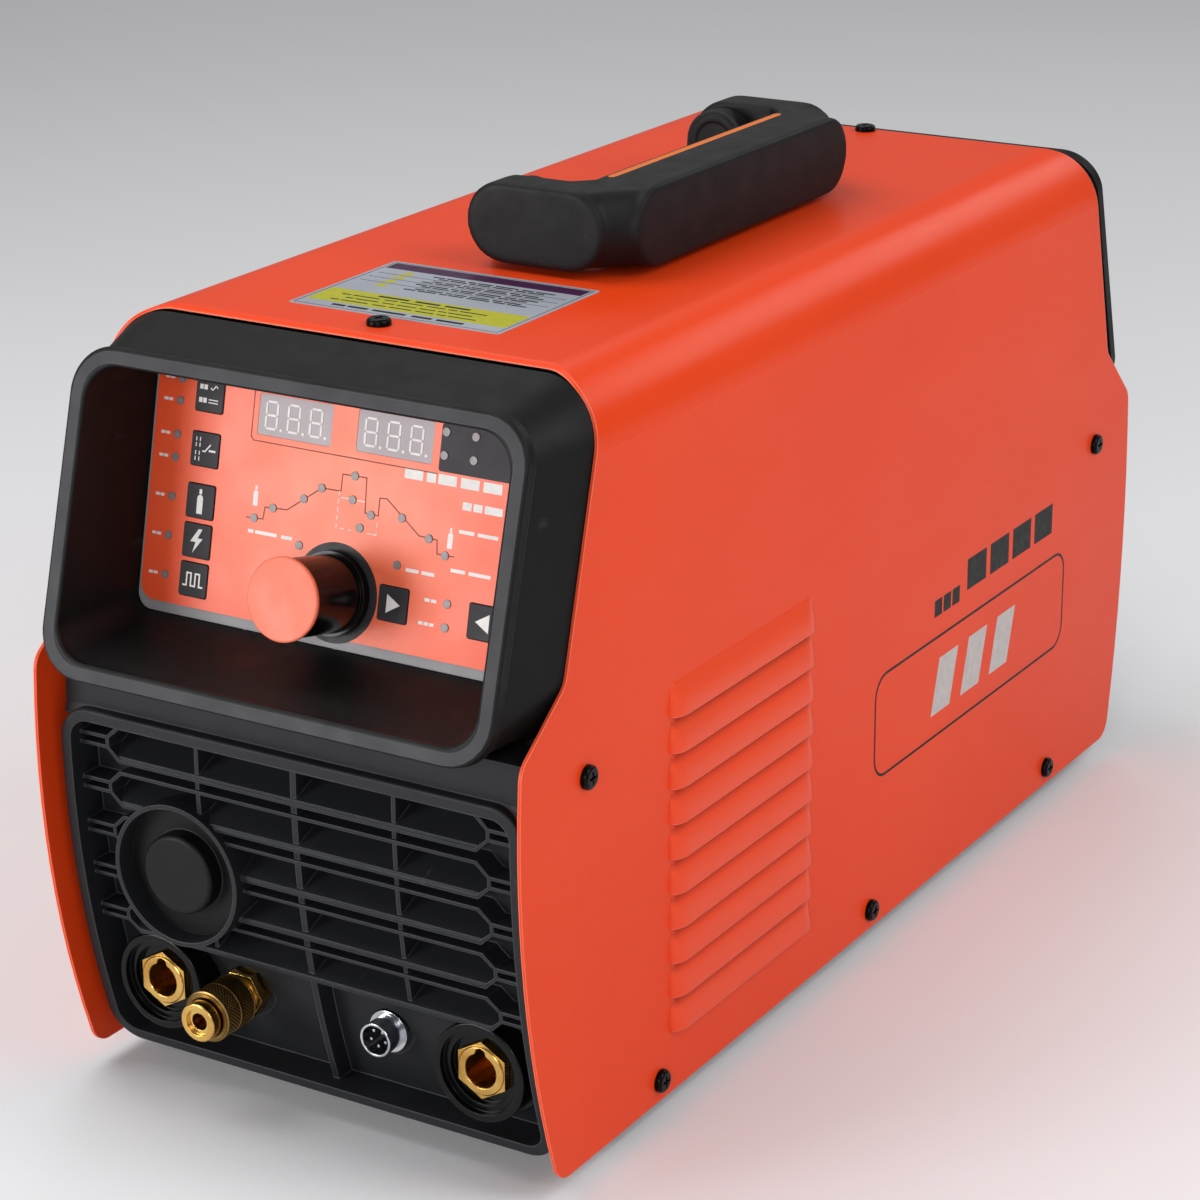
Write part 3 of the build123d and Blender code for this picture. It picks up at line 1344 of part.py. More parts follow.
coupler_rear_y = recess_wall_y - 1 + 34
hose_radius = 4.8
hose_route = [
    (gas_x, coupler_rear_y, socket_z),
    (gas_x, -160.0, socket_z),
    (-80.0, -115.0, 75.0),
    (valve_x, 60.0, valve_z),
    (valve_x, valve_front_y, valve_z),
]
with BuildPart() as gas_hose:
    with BuildLine():
        FilletPolyline(*hose_route, radius=[16.0, 40.0, 120.0])
    with BuildSketch(Plane(origin=hose_route[0], z_dir=(0, 1, 0))):
        Circle(hose_radius)
        Circle(hose_radius - 1.6, mode=Mode.SUBTRACT)
    sweep()
gas_hose.part.label = "gas_hose"
export_step(gas_hose.part, "parts/gas_hose.step")
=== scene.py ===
"""TIG welding machine: finishes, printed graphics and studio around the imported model, in metres."""
import math

import bmesh
import bpy
from mathutils import Matrix, Vector


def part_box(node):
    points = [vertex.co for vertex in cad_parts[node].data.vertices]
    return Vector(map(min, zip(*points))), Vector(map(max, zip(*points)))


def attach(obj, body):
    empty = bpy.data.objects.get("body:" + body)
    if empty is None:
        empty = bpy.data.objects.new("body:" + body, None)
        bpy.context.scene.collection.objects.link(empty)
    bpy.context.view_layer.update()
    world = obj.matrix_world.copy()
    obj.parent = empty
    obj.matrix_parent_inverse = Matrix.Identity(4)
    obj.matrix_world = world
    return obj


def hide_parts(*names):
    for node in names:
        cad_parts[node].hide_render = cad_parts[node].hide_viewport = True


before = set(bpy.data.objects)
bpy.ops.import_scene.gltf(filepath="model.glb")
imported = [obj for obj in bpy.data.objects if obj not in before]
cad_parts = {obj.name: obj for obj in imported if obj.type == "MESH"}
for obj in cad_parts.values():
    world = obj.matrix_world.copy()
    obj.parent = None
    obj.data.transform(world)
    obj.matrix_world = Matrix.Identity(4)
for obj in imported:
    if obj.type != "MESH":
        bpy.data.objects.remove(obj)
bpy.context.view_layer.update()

MM = 0.001

# Camera and studio
CAMERA_PLACE = Vector((0.6248, -1.0522, 0.5721))
CAMERA_YAW = math.radians(31.5)
CAMERA_PITCH = math.radians(19.95)
CAMERA_ROLL = math.radians(-0.5)
CAMERA_LENS = 99.36
FLOOR_HALF = 6.0
SURROUND = 0.26
LIGHTS = {
    # name: (place, aimed at, width, height, watts)
    "softbox_top": ((-0.6, -0.3, 1.6), (0, 0, 0.2), 1.1, 1.2, 12.5),
    "softbox_right": ((1.45, -0.05, 1.3), (0.05, 0, 0.15), 0.8, 1.3, 15.5),
    "softbox_front": ((-1.05, -1.75, 0.42), (0, -0.2, 0.17), 0.8, 0.7, 19.0),
    "softbox_camera": ((0.75, -2.0, 0.8), (0, -0.2, 0.15), 0.6, 0.6, 12.0),
    "softbox_rear": ((0.6, 1.8, 1.25), (0, 0.1, 0.2), 1.2, 0.6, 5.0),
    "softbox_backdrop": ((-1.6, 2.6, 2.6), (-1.3, 2.4, 0), 1.6, 1.6, 13.0),
}

# Front panel, measured along the sloping overlay (u across, v up) in millimetres
PANEL_LEAN = math.radians(13)
OVERLAY_THICKNESS = 0.5
OVERLAY_FOOT = 15.6
INK = 0.05
UNIT_BLOCK_X = 34.5
KNOB_CENTRE = (0.0, 31.0)
KNOB_RING = (12.0, 17.2)
DISPLAYS = [(-23.0, 86.6), (18.0, 86.9)]
MODE_LIGHTS = [93.9, 86.2, 74.5, 66.5, 52.8, 39.1, 25.3]
CYCLE_LINE = [
    (-39.6, 50.6), (-32.5, 51.0), (-32.1, 55.2), (-22.9, 55.7), (-9.4, 65.3), (-1.6, 65.5), (-1.5, 71.3),
    (8.3, 71.5), (8.9, 59.7), (14.3, 59.6), (14.3, 65.6), (17.2, 65.8), (31.3, 55.6), (38.5, 55.4),
    (39.0, 50.8), (45.8, 50.9),
]

# Badge on each side of the cover, in millimetres from the cover's middle and the ground
BADGE_Y = 93.0
BADGE_Z = 91.0

# Carrying handle, in millimetres
ARM_LENGTH = 57.0
ARM_DEPTH = 15.0
BAR_SETBACK = 9.5
BAR_WIDTH = 25.0
NECK = 9.0
NECK_INSET = 0.7
NECK_STEP = 2.2
VOXEL = 0.8

# Gas connector's sleeve: bore as a share of its end radius, and its knurl in millimetres
SLEEVE_BORE = 0.86
KNURL_TEETH = 40
KNURL_ROOT = 0.5
KNURL_HEIGHT = 0.42
SLEEVE_BAND = 0.05
SLEEVE_STEP = 0.8

# Weld contacts, in millimetres
LIP_RADIUS = 9.1
LIP_BORE = 6.2
LIP_SLOT = 2.1

# Cover's side walls and their louvres, in millimetres
WALL = 100.0
LOUVRE_COUNT = 10
LOUVRE_FIRST_Z = 32.0
LOUVRE_PITCH = 13.2
LOUVRE_HEIGHT = 12.2
LOUVRE_Y = (-151.0, -49.0)
LOUVRE_BULGE = 3.65
LOUVRE_END = 7.0
LOUVRE_SUNK = 0.2

# Bezel rims, in millimetres
RIM_LEAN = math.radians(15.9)
RIM_WIDTH = 184.0
RIM_HEIGHT = 114.4
RIM_CORNER = 17.0
RIM_ROUNDING = 1.0
RIM_EDGE = 1.1
RIM_FACE = 4.2
RIM_INNER = 5.0
RIM_LIFT = 0.03
RIM_SUNK = 0.3


# ---------------------------------------------------------------- materials

def chart(red, green, blue):
    """A linear colour from the three 0 to 255 numbers of a paint chart."""
    linear = []
    for part in (red, green, blue):
        share = part / 255
        linear.append(share / 12.92 if share <= 0.04045 else ((share + 0.055) / 1.055) ** 2.4)
    return (*linear, 1.0)


def scaled(colour, share):
    """A colour made darker or brighter by a share."""
    return [min(1.0, part * share) for part in colour[:3]] + [1.0]


class Surface:
    """One procedural material: a Principled shader and the textures that feed it."""

    def __init__(self, name, **constants):
        self.material = bpy.data.materials.new(name)
        self.material.use_nodes = True
        self.tree = self.material.node_tree
        self.shader = self.tree.nodes["Principled BSDF"]
        for socket, value in constants.items():
            self.shader.inputs[socket.replace("_", " ")].default_value = value
        self.place = self.add("ShaderNodeTexCoord").outputs["Object"]

    def add(self, kind, settings=(), **inputs):
        """A node with its settings, and its inputs linked or set by name."""
        node = self.tree.nodes.new(kind)
        for setting, value in dict(settings).items():
            setattr(node, setting, value)
        for name, value in inputs.items():
            self.feed(node.inputs[name.replace("_", " ")], value)
        return node

    def feed(self, socket, value):
        if isinstance(value, bpy.types.NodeSocket):
            self.tree.links.new(value, socket)
        else:
            socket.default_value = value

    def stretched(self, x, y, z):
        """Object coordinates scaled unevenly, for grain that runs one way."""
        return self.add("ShaderNodeMapping", Vector=self.place, Scale=(x, y, z)).outputs["Vector"]

    def noise(self, scale, detail=3.0, vector=None, roughness=0.5):
        node = self.add(
            "ShaderNodeTexNoise", Vector=vector or self.place, Scale=scale, Detail=detail, Roughness=roughness
        )
        return node.outputs["Fac"]

    def cells(self, scale, feature="F1"):
        node = self.add("ShaderNodeTexVoronoi", {"feature": feature}, Vector=self.place, Scale=scale)
        return node.outputs["Distance"]

    def span(self, value, low, high, out_low, out_high):
        """A value carried from one range to another, held at the ends."""
        node = self.add("ShaderNodeMapRange", Value=value)
        for name, number in zip(("From Min", "From Max", "To Min", "To Max"), (low, high, out_low, out_high)):
            node.inputs[name].default_value = number
        return node.outputs["Result"]

    def uneven(self, scale, detail, low, high):
        """A cloudy value between two ends."""
        return self.span(self.noise(scale, detail), 0.3, 0.7, low, high)

    def reckon(self, operation, first, second):
        """Two values through one sum; a wrap runs down to 0."""
        node = self.add("ShaderNodeMath", {"operation": operation})
        self.feed(node.inputs[0], first)
        self.feed(node.inputs[1], second)
        node.inputs[2].default_value = 0.0
        return node.outputs[0]

    def blend(self, share, first, second):
        """Two colours mixed by a share from 0 to 1."""
        node = self.add("ShaderNodeMix", {"data_type": "RGBA"})
        self.feed(node.inputs[0], share)
        self.feed(node.inputs[6], first)
        self.feed(node.inputs[7], second)
        return node.outputs[2]

    def axis(self, letter):
        """One object coordinate, in metres."""
        return self.add("ShaderNodeSeparateXYZ", Vector=self.place).outputs[letter]

    def edges(self, radius):
        """(normal rounded over the edges, mask that is 1 on the edges)."""
        rounded = self.add("ShaderNodeBevel", {"samples": 6}, Radius=radius).outputs["Normal"]
        flat = self.add("ShaderNodeNewGeometry").outputs["Normal"]
        node = self.add("ShaderNodeVectorMath", {"operation": "DOT_PRODUCT"})
        self.feed(node.inputs[0], rounded)
        self.feed(node.inputs[1], flat)
        return rounded, self.span(node.outputs["Value"], 0.985, 0.8, 0.0, 1.0)

    def relief(self, height, depth, normal=None):
        """A normal pressed in or out by a height, over an optional normal."""
        node = self.add("ShaderNodeBump", Height=height, Distance=depth)
        if normal is not None:
            self.feed(node.inputs["Normal"], normal)
        return node.outputs["Normal"]

    def finish(self, colour, roughness, normal):
        """Feeds the shader and gives the material."""
        self.feed(self.shader.inputs["Base Color"], colour)
        self.feed(self.shader.inputs["Roughness"], roughness)
        self.feed(self.shader.inputs["Normal"], normal)
        return self.material


def moulded(name, base, worn, rough, grain=0.00004, scale=2600.0, rounding=0.0007, **constants):
    """Moulded plastic or rubber: spark texture, clouding, thin scuffs and paler edges."""
    s = Surface(name, **{"Specular_IOR_Level": 0.2, **constants})
    rounded, edge = s.edges(rounding)
    clouds = s.noise(22.0, 4.0)
    scuffs = s.noise(14.0, 6.0, s.stretched(9.0, 1.0, 2.5), 0.7)
    scuffed = s.span(scuffs, 0.66, 0.74, 0.0, 0.35)
    tone = s.blend(s.span(clouds, 0.3, 0.7, 0.0, 1.0), base, scaled(base, 0.86))
    tone = s.blend(scuffed, tone, worn)
    tone = s.blend(s.reckon("MULTIPLY", edge, s.span(clouds, 0.3, 0.6, 0.35, 0.85)), tone, worn)
    polish = s.uneven(90.0, 4.0, rough - 0.06, rough + 0.07)
    normal = s.relief(s.noise(scale, 2.0), grain, rounded)
    return s.finish(tone, polish, normal)


def machined(name, base, dull, rough, along=(1.0, 1.0, 1.0), rounding=0.0004, **constants):
    """Bare or plated metal: fine tool marks, tarnish in patches and bright edges."""
    s = Surface(name, Metallic=1.0, **constants)
    rounded, edge = s.edges(rounding)
    patches = s.noise(70.0, 5.0)
    marks = s.noise(420.0, 3.0, s.stretched(*along))
    tone = s.blend(s.span(patches, 0.38, 0.68, 0.0, 1.0), base, dull)
    tone = s.blend(s.reckon("MULTIPLY", edge, 0.6), tone, scaled(base, 1.25))
    tarnish = s.span(patches, 0.3, 0.7, rough, rough + 0.1)
    polish = s.reckon("ADD", tarnish, s.span(marks, 0.3, 0.7, -0.04, 0.05))
    return s.finish(tone, polish, s.relief(marks, 0.00002, rounded))


def powder_coat(name="orange_paint", gloss=0.14, rows=None):
    """Orange powder coat: satin, slight orange peel, and a painted highlight that makes the cut edges pale.

    Rows (first height, pitch, top height) get a painted paler tone for the light the tilted rows catch, and a
    painted shadow that darkens each row under the lip of the one above.
    """
    s = Surface(name, Coat_Weight=0.05, Coat_Roughness=0.2, Specular_IOR_Level=gloss)
    rounded, edge = s.edges(0.0008)
    clouds = s.noise(5.0, 3.0)
    specks = s.noise(1500.0, 2.0)
    rubs = s.noise(9.0, 7.0, s.stretched(3.0, 1.0, 4.0), 0.75)
    tone = s.blend(s.span(clouds, 0.35, 0.65, 0.0, 1.0), chart(233, 68, 22), chart(228, 64, 20))
    tone = s.blend(s.span(specks, 0.62, 0.78, 0.0, 0.12), tone, chart(240, 104, 66))
    # Painted highlight: the rounded edges are paled towards pinkish white.
    tone = s.blend(s.reckon("MULTIPLY", edge, 0.85), tone, chart(254, 158, 128))
    if rows is not None:
        first, pitch, top = rows
        height = s.reckon("SUBTRACT", s.axis("Z"), first)
        along = s.reckon("WRAP", height, pitch)
        # Painted shade: each row darkens towards its top, where the lip of the row above shades it; the whole
        # row is also painted slightly paler, a painted highlight.
        under = s.span(along, pitch * 0.62, pitch * 0.88, 0.0, 0.5)
        shade = s.reckon("MULTIPLY", under, s.span(height, top, top + MM, 1.0, 0.0))
        tone = s.blend(shade, s.blend(0.08, tone, chart(255, 120, 84)), chart(130, 26, 8))
    polish = s.reckon("ADD", s.span(rubs, 0.35, 0.7, 0.3, 0.39), s.span(specks, 0.3, 0.7, -0.02, 0.02))
    normal = s.relief(s.noise(650.0, 2.0), 0.000035, rounded)
    return s.finish(tone, polish, normal)


def film():
    """The printed overlay: brighter orange, with a painted highlight that makes it paler in its middle, under
    a fine matt film.
    """
    s = Surface("orange_film", Specular_IOR_Level=0.4)
    rounded, edge = s.edges(0.0002)
    low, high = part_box("panel_overlay")
    to_middle = -(low + high) / 2
    shifted = s.add("ShaderNodeMapping", Vector=s.place, Location=to_middle).outputs["Vector"]
    away = s.add("ShaderNodeVectorMath", {"operation": "LENGTH"}, Vector=shifted).outputs["Value"]
    # Painted highlight: palest in the overlay's middle, deeper orange towards its sides.
    tone = s.blend(s.span(away, 0.01, 0.085, 0.0, 1.0), chart(252, 122, 86), chart(244, 84, 44))
    tone = s.blend(s.span(s.noise(1800.0, 2.0), 0.55, 0.75, 0.0, 0.15), tone, chart(255, 150, 122))
    tone = s.blend(s.reckon("MULTIPLY", edge, 0.5), tone, chart(255, 170, 150))
    polish = s.uneven(60.0, 4.0, 0.34, 0.42)
    return s.finish(tone, polish, s.relief(s.noise(2400.0, 2.0), 0.000012, rounded))


def window():
    """Display windows: smoked film, and the darker unit block on the right."""
    s = Surface("smoked_window", Specular_IOR_Level=0.12)
    rounded, edge = s.edges(0.0002)
    block = s.reckon("GREATER_THAN", s.axis("X"), UNIT_BLOCK_X * MM)
    smoke = s.blend(s.uneven(35.0, 3.0, 0.0, 1.0), chart(178, 167, 170), chart(188, 177, 180))
    tone = s.blend(block, smoke, chart(60, 57, 61))
    tone = s.blend(s.reckon("MULTIPLY", edge, 0.4), tone, chart(168, 160, 160))
    polish = s.uneven(80.0, 3.0, 0.4, 0.5)
    return s.finish(tone, polish, s.relief(s.noise(900.0, 2.0), 0.00001, rounded))


def striped(name, first, second, pitch, direction, rough, **constants):
    """Turns, tape or sleeving laid side by side along one axis."""
    s = Surface(name, **constants)
    rounded, edge = s.edges(0.0004)
    place = s.axis(direction)
    turns = s.reckon("PINGPONG", place, pitch / 2)
    share = s.span(turns, 0.0, pitch / 2, 0.0, 1.0)
    tone = s.blend(share, first, second)
    grime = s.span(s.noise(60.0, 4.0), 0.5, 0.75, 0.0, 0.4)
    tone = s.blend(grime, tone, scaled(first, 0.6))
    tone = s.blend(s.reckon("MULTIPLY", edge, 0.4), tone, scaled(first, 1.5))
    polish = s.uneven(120.0, 3.0, rough - 0.05, rough + 0.08)
    return s.finish(tone, polish, s.relief(share, 0.0002, rounded))


def board():
    """Circuit board: green solder mask with tracks, pads and bare laminate edges."""
    s = Surface("circuit_board", Coat_Weight=0.3, Coat_Roughness=0.2)
    rounded, edge = s.edges(0.0003)
    tracks = s.cells(260.0, feature="DISTANCE_TO_EDGE")
    pads = s.cells(420.0)
    tone = s.blend(s.span(tracks, 0.05, 0.08, 1.0, 0.0), chart(22, 84, 48), chart(44, 122, 66))
    tone = s.blend(s.span(pads, 0.12, 0.17, 0.8, 0.0), tone, chart(196, 190, 160))
    tone = s.blend(s.reckon("MULTIPLY", edge, 0.5), tone, chart(160, 150, 96))
    polish = s.uneven(150.0, 3.0, 0.28, 0.42)
    return s.finish(tone, polish, s.relief(tracks, 0.00008, rounded))


def lens():
    """Indicator lenses: milky, brighter at the crown."""
    s = Surface("led_lens", Subsurface_Weight=0.1, Specular_IOR_Level=0.2)
    rounded, edge = s.edges(0.0003)
    tone = s.blend(s.uneven(700.0, 2.0, 0.0, 1.0), chart(132, 120, 119), chart(150, 138, 137))
    tone = s.blend(s.reckon("MULTIPLY", edge, 0.5), tone, chart(96, 84, 82))
    polish = s.uneven(300.0, 2.0, 0.16, 0.26)
    return s.finish(tone, polish, s.relief(s.noise(1200.0, 2.0), 0.00001, rounded))


def inked(name, base, rough=0.42):
    """Screen-printed ink: a little uneven in cover and sheen."""
    s = Surface(name, Specular_IOR_Level=0.2)
    clouds = s.noise(260.0, 4.0)
    tone = s.blend(s.span(clouds, 0.35, 0.7, 0.0, 1.0), base, scaled(base, 0.88))
    polish = s.span(clouds, 0.3, 0.7, rough - 0.05, rough + 0.08)
    return s.finish(tone, polish, s.relief(s.noise(2600.0, 2.0), 0.000008))


def floor_finish():
    """Pale, even studio floor."""
    s = Surface("studio_floor", Specular_IOR_Level=0.2)
    clouds = s.noise(1.2, 3.0)
    tone = s.blend(s.span(clouds, 0.3, 0.7, 0.0, 1.0), chart(238, 238, 239), chart(233, 233, 235))
    polish = s.span(clouds, 0.3, 0.7, 0.6, 0.7)
    return s.finish(tone, polish, s.relief(s.noise(300.0, 2.0), 0.00005))


TURNED = (1.0, 0.25, 1.0)
CHARCOAL = chart(15, 15, 16)
SCUFF = chart(74, 75, 79)
INKS = {
    "white": inked("white_ink", chart(238, 232, 228)),
    "brown": inked("brown_ink", chart(112, 42, 26)),
    "black": inked("black_ink", chart(16, 15, 15)),
    "grey": inked("grey_ink", chart(196, 190, 188)),
    "violet": inked("violet_ink", chart(66, 30, 66)),
    "lime": inked("lime_ink", chart(178, 176, 38)),
    "charcoal": inked("charcoal_ink", chart(52, 50, 53)),
}
FINISHES = {
    "orange_paint": powder_coat(),
    "zinc_steel": machined("zinc_steel", chart(178, 180, 184), chart(140, 142, 148), 0.3),
    "foot_rubber": moulded("foot_rubber", chart(30, 30, 31), chart(70, 70, 70), 0.78, 0.0001, 1500.0),
    "black_steel": moulded(
        "black_steel", chart(13, 13, 14), chart(66, 66, 68), 0.26, Metallic=0.6, rounding=0.0003
    ),
    "charcoal_plastic": moulded("charcoal_plastic", CHARCOAL, SCUFF, 0.5, rounding=0.001),
    "grey_plate": moulded("grey_plate", chart(150, 148, 150), chart(190, 188, 188), 0.42, 0.00002),
    "orange_film": film(),
    "smoked_window": window(),
    "led_lens": lens(),
    "circuit_board": board(),
    "knob_plastic": moulded(
        "knob_plastic", chart(12, 11, 12), chart(50, 48, 48), 0.2, 0.00001, rounding=0.0003
    ),
    "orange_cap": moulded(
        "orange_cap", chart(242, 112, 82), chart(250, 160, 130), 0.42, 0.00002, Specular_IOR_Level=0.4
    ),
    "gloss_black": moulded(
        "gloss_black", chart(10, 10, 11), chart(50, 50, 52), 0.18, 0.00001, rounding=0.0004
    ),
    "brass_bright": machined("brass_bright", chart(226, 184, 104), chart(190, 142, 70), 0.2, TURNED),
    "brass_dark": machined("brass_dark", chart(140, 110, 62), chart(92, 70, 40), 0.32, TURNED),
    "chrome_plate": machined("chrome_plate", chart(214, 216, 220), chart(176, 178, 184), 0.1, TURNED),
    "handle_plastic": moulded("handle_plastic", chart(20, 20, 22), chart(70, 71, 76), 0.5, rounding=0.0012),
    "orange_strip": moulded("orange_strip", chart(232, 116, 38), chart(250, 180, 110), 0.42, 0.00002),
    "printed_label": moulded(
        "printed_label", chart(164, 168, 178), chart(206, 210, 216), 0.36, 0.00001, rounding=0.0002
    ),
    "black_wire": moulded(
        "black_wire", chart(22, 22, 23), chart(70, 70, 72), 0.34, Metallic=0.4, rounding=0.0003
    ),
    "capacitor_sleeve": striped("capacitor_sleeve", chart(26, 34, 66), chart(34, 44, 82), 0.012, "Y", 0.3),
    "sink_aluminium": machined(
        "sink_aluminium", chart(186, 188, 192), chart(156, 158, 164), 0.34, (1.0, 0.1, 1.0)
    ),
    "ferrite": moulded("ferrite", chart(52, 50, 50), chart(92, 90, 90), 0.62, 0.00006, 900.0),
    "winding_tape": striped("winding_tape", chart(214, 176, 60), chart(186, 140, 40), 0.003, "Z", 0.36),
    "hose_rubber": moulded("hose_rubber", chart(28, 28, 30), chart(70, 70, 72), 0.6, 0.00005, 1200.0),
    "key_rubber": moulded(
        "key_rubber", chart(56, 53, 56), chart(104, 100, 102), 0.5, 0.00003, rounding=0.0004
    ),
}
# Painted lighter tone: a paler copy of the charcoal standing in for the light on the grille's ribs.
GRILLE_LIT_FINISH = moulded("grille_plastic_lit", chart(34, 35, 38), chart(92, 93, 98), 0.46, rounding=0.0008)
# Louvre paint with a painted shadow under each row's lip and a painted paler tone on the rows.
LOUVRE_ROWS = (LOUVRE_FIRST_Z * MM, LOUVRE_PITCH * MM, LOUVRE_PITCH * (LOUVRE_COUNT - 1) * MM)
LOUVRE_SHADED_FINISH = powder_coat("louvre_paint_shaded", 0.3, LOUVRE_ROWS)
# Painted lighter tone: a paler copy of the charcoal standing in for the light on the bezel rims.
RIM_LIT_FINISH = moulded("rim_plastic_lit", chart(58, 58, 61), chart(112, 113, 118), 0.5, rounding=0.0004)


def dress_frame():
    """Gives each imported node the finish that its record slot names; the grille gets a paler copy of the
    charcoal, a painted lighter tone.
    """
    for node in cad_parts.values():
        slot_name = node.data.materials[0].name.split(".")[0]
        node.data.materials[0] = FINISHES[slot_name]
    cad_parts["front_grille"].data.materials[0] = GRILLE_LIT_FINISH


# ---------------------------------------------------------------- flat print

class Face:
    """A flat place to print on: u runs along right and v along up, in millimetres."""

    def __init__(self, origin, right, up):
        self.origin = Vector(origin)
        self.right = Vector(right)
        self.up = Vector(up)
        self.out = self.right.cross(self.up)

    def point(self, u, v, lift=0.0):
        return self.origin + (self.right * u + self.up * v + self.out * lift) * MM


def reach(node, direction):
    """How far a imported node's vertices go along a direction: (lowest, highest), in metres."""
    along = [vertex.co.dot(direction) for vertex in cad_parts[node].data.vertices]
    return min(along), max(along)


def band(mesh, first, second):
    """Joins two closed loops of vertices, point by point."""
    for i, corner in enumerate(first):
        after = (i + 1) % len(first)
        mesh.faces.new((corner, second[i], second[after], first[after]))


def object_from(mesh, name):
    """Turns a bmesh into an object in the scene, its faces turned outwards."""
    data = bpy.data.meshes.new(name)
    bmesh.ops.recalc_face_normals(mesh, faces=mesh.faces)
    mesh.to_mesh(data)
    mesh.free()
    piece = bpy.data.objects.new(name, data)
    bpy.context.scene.collection.objects.link(piece)
    return piece


class Print:
    """Ink shapes on a face, gathered into one thin piece."""

    def __init__(self, face, lift=0.0):
        self.face = face
        self.lift = lift
        self.mesh = bmesh.new()

    def shape(self, outline):
        """A filled outline, given anticlockwise as seen from outside."""
        top = [self.mesh.verts.new(self.face.point(u, v, self.lift + INK)) for u, v in outline]
        foot = [self.mesh.verts.new(self.face.point(u, v, self.lift - INK / 2)) for u, v in outline]
        self.mesh.faces.new(top)
        self.mesh.faces.new(list(reversed(foot)))
        band(self.mesh, top, foot)

    def bar(self, u, v, width, height, slant=0.0):
        left, right, low, high = u - width / 2, u + width / 2, v - height / 2, v + height / 2
        self.shape([(left - slant, low), (right - slant, low), (right + slant, high), (left + slant, high)])

    def disc(self, u, v, radius, sides=28):
        turns = [2 * math.pi * i / sides for i in range(sides)]
        self.shape([(u + radius * math.cos(turn), v + radius * math.sin(turn)) for turn in turns])

    def line(self, points, width, closed=False):
        """A stroke with mitred corners, one quad for each run."""
        count = len(points)
        sides = []
        for i, (u, v) in enumerate(points):
            before = points[i - 1] if i or closed else None
            after = points[(i + 1) % count] if i < count - 1 or closed else None
            runs = []
            for start, end in ((before, (u, v)), ((u, v), after)):
                if start is not None and end is not None:
                    runs.append((Vector(end) - Vector(start)).normalized())
            middle = sum(runs, Vector((0, 0))).normalized()
            across = Vector((-middle.y, middle.x))
            stretch = width / 2 / max(0.35, abs(middle.dot(runs[0])))
            right, up = across.x * stretch, across.y * stretch
            sides.append(((u + right, v + up), (u - right, v - up)))
        for i in range(count if closed else count - 1):
            after = (i + 1) % count
            self.shape([sides[i][1], sides[after][1], sides[after][0], sides[i][0]])

    def finish(self, name, ink, body="case"):
        """Makes the piece, in one of the inks and riding on a body."""
        piece = object_from(self.mesh, name)
        piece.data.materials.append(INKS[ink])
        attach(piece, body)


def overlay_face():
    """The overlay's front, with v measured up the slope as on the panel."""
    low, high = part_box("panel_overlay")
    up = Vector((0, math.sin(PANEL_LEAN), math.cos(PANEL_LEAN)))
    foot = Vector(((low.x + high.x) / 2, low.y, low.z + OVERLAY_THICKNESS * math.sin(PANEL_LEAN) * MM))
    return Face(foot - up * OVERLAY_FOOT * MM, (1, 0, 0), up)


def words(ink, u, v, width, height, gaps):
    """Stands in for a line of lettering: plain blocks with gaps, each block's share of the width in gaps."""
    total = sum(gaps)
    left = u - width / 2
    for share in gaps:
        step = width * share / total
        ink.bar(left + step * 0.44, v, step * 0.82, height)
        left += step


def arc(centre, radius, start, end, steps=6):
    """Points of a round stretch, angles in degrees."""
    turns = [math.radians(start + (end - start) * i / steps) for i in range(steps + 1)]
    return [(centre[0] + radius * math.cos(turn), centre[1] + radius * math.sin(turn)) for turn in turns]


def rounded_outline(u, v, width, height, radius):
    right, top = u + width / 2 - radius, v + height / 2 - radius
    left, low = u - width / 2 + radius, v - height / 2 + radius
    corners = [((right, low), -90), ((right, top), 0), ((left, top), 90), ((left, low), 180)]
    return [point for centre, start in corners for point in arc(centre, radius, start, start + 90)]


def bottle(ink, u, v, height):
    """A gas bottle: body with round shoulders and a valve."""
    half = height * 0.14
    shoulder = v + height * 0.12
    body = [(u - half, v - height / 2), (u + half, v - height / 2)]
    ink.shape(body + arc((u, shoulder), half, 0, 180))
    ink.bar(u, v + height * 0.38, half * 0.9, height * 0.2)


def digits(ink, u, v):
    """Three seven-segment figures, each with its point."""
    half_height, half_width, stroke, gap = 4.6, 2.3, 0.75, 0.22
    for place in (-9.2, 0, 9.2):
        for row in (-1, 0, 1):
            across = (half_width - gap) * 2
            segment(ink, u + place, v + row * half_height, across, stroke, False)
        for side in (-1, 1):
            for row in (-1, 1):
                rise = half_height - gap * 2
                segment(ink, u + place + side * half_width, v + row * half_height / 2, rise, stroke, True)
        ink.disc(u + place + half_width + 1.9, v - half_height, 0.55, 14)


def segment(ink, u, v, length, stroke, upright):
    """One segment of a figure, pointed at both ends and leaning a little."""
    long, short = length / 2, stroke / 2
    flat = long - short
    outline = [(-long, 0), (-flat, -short), (flat, -short), (long, 0), (flat, short), (-flat, short)]
    if upright:
        outline = [(-y, x) for x, y in outline]
    ink.shape([(u + x, v + y) for x, y in outline])


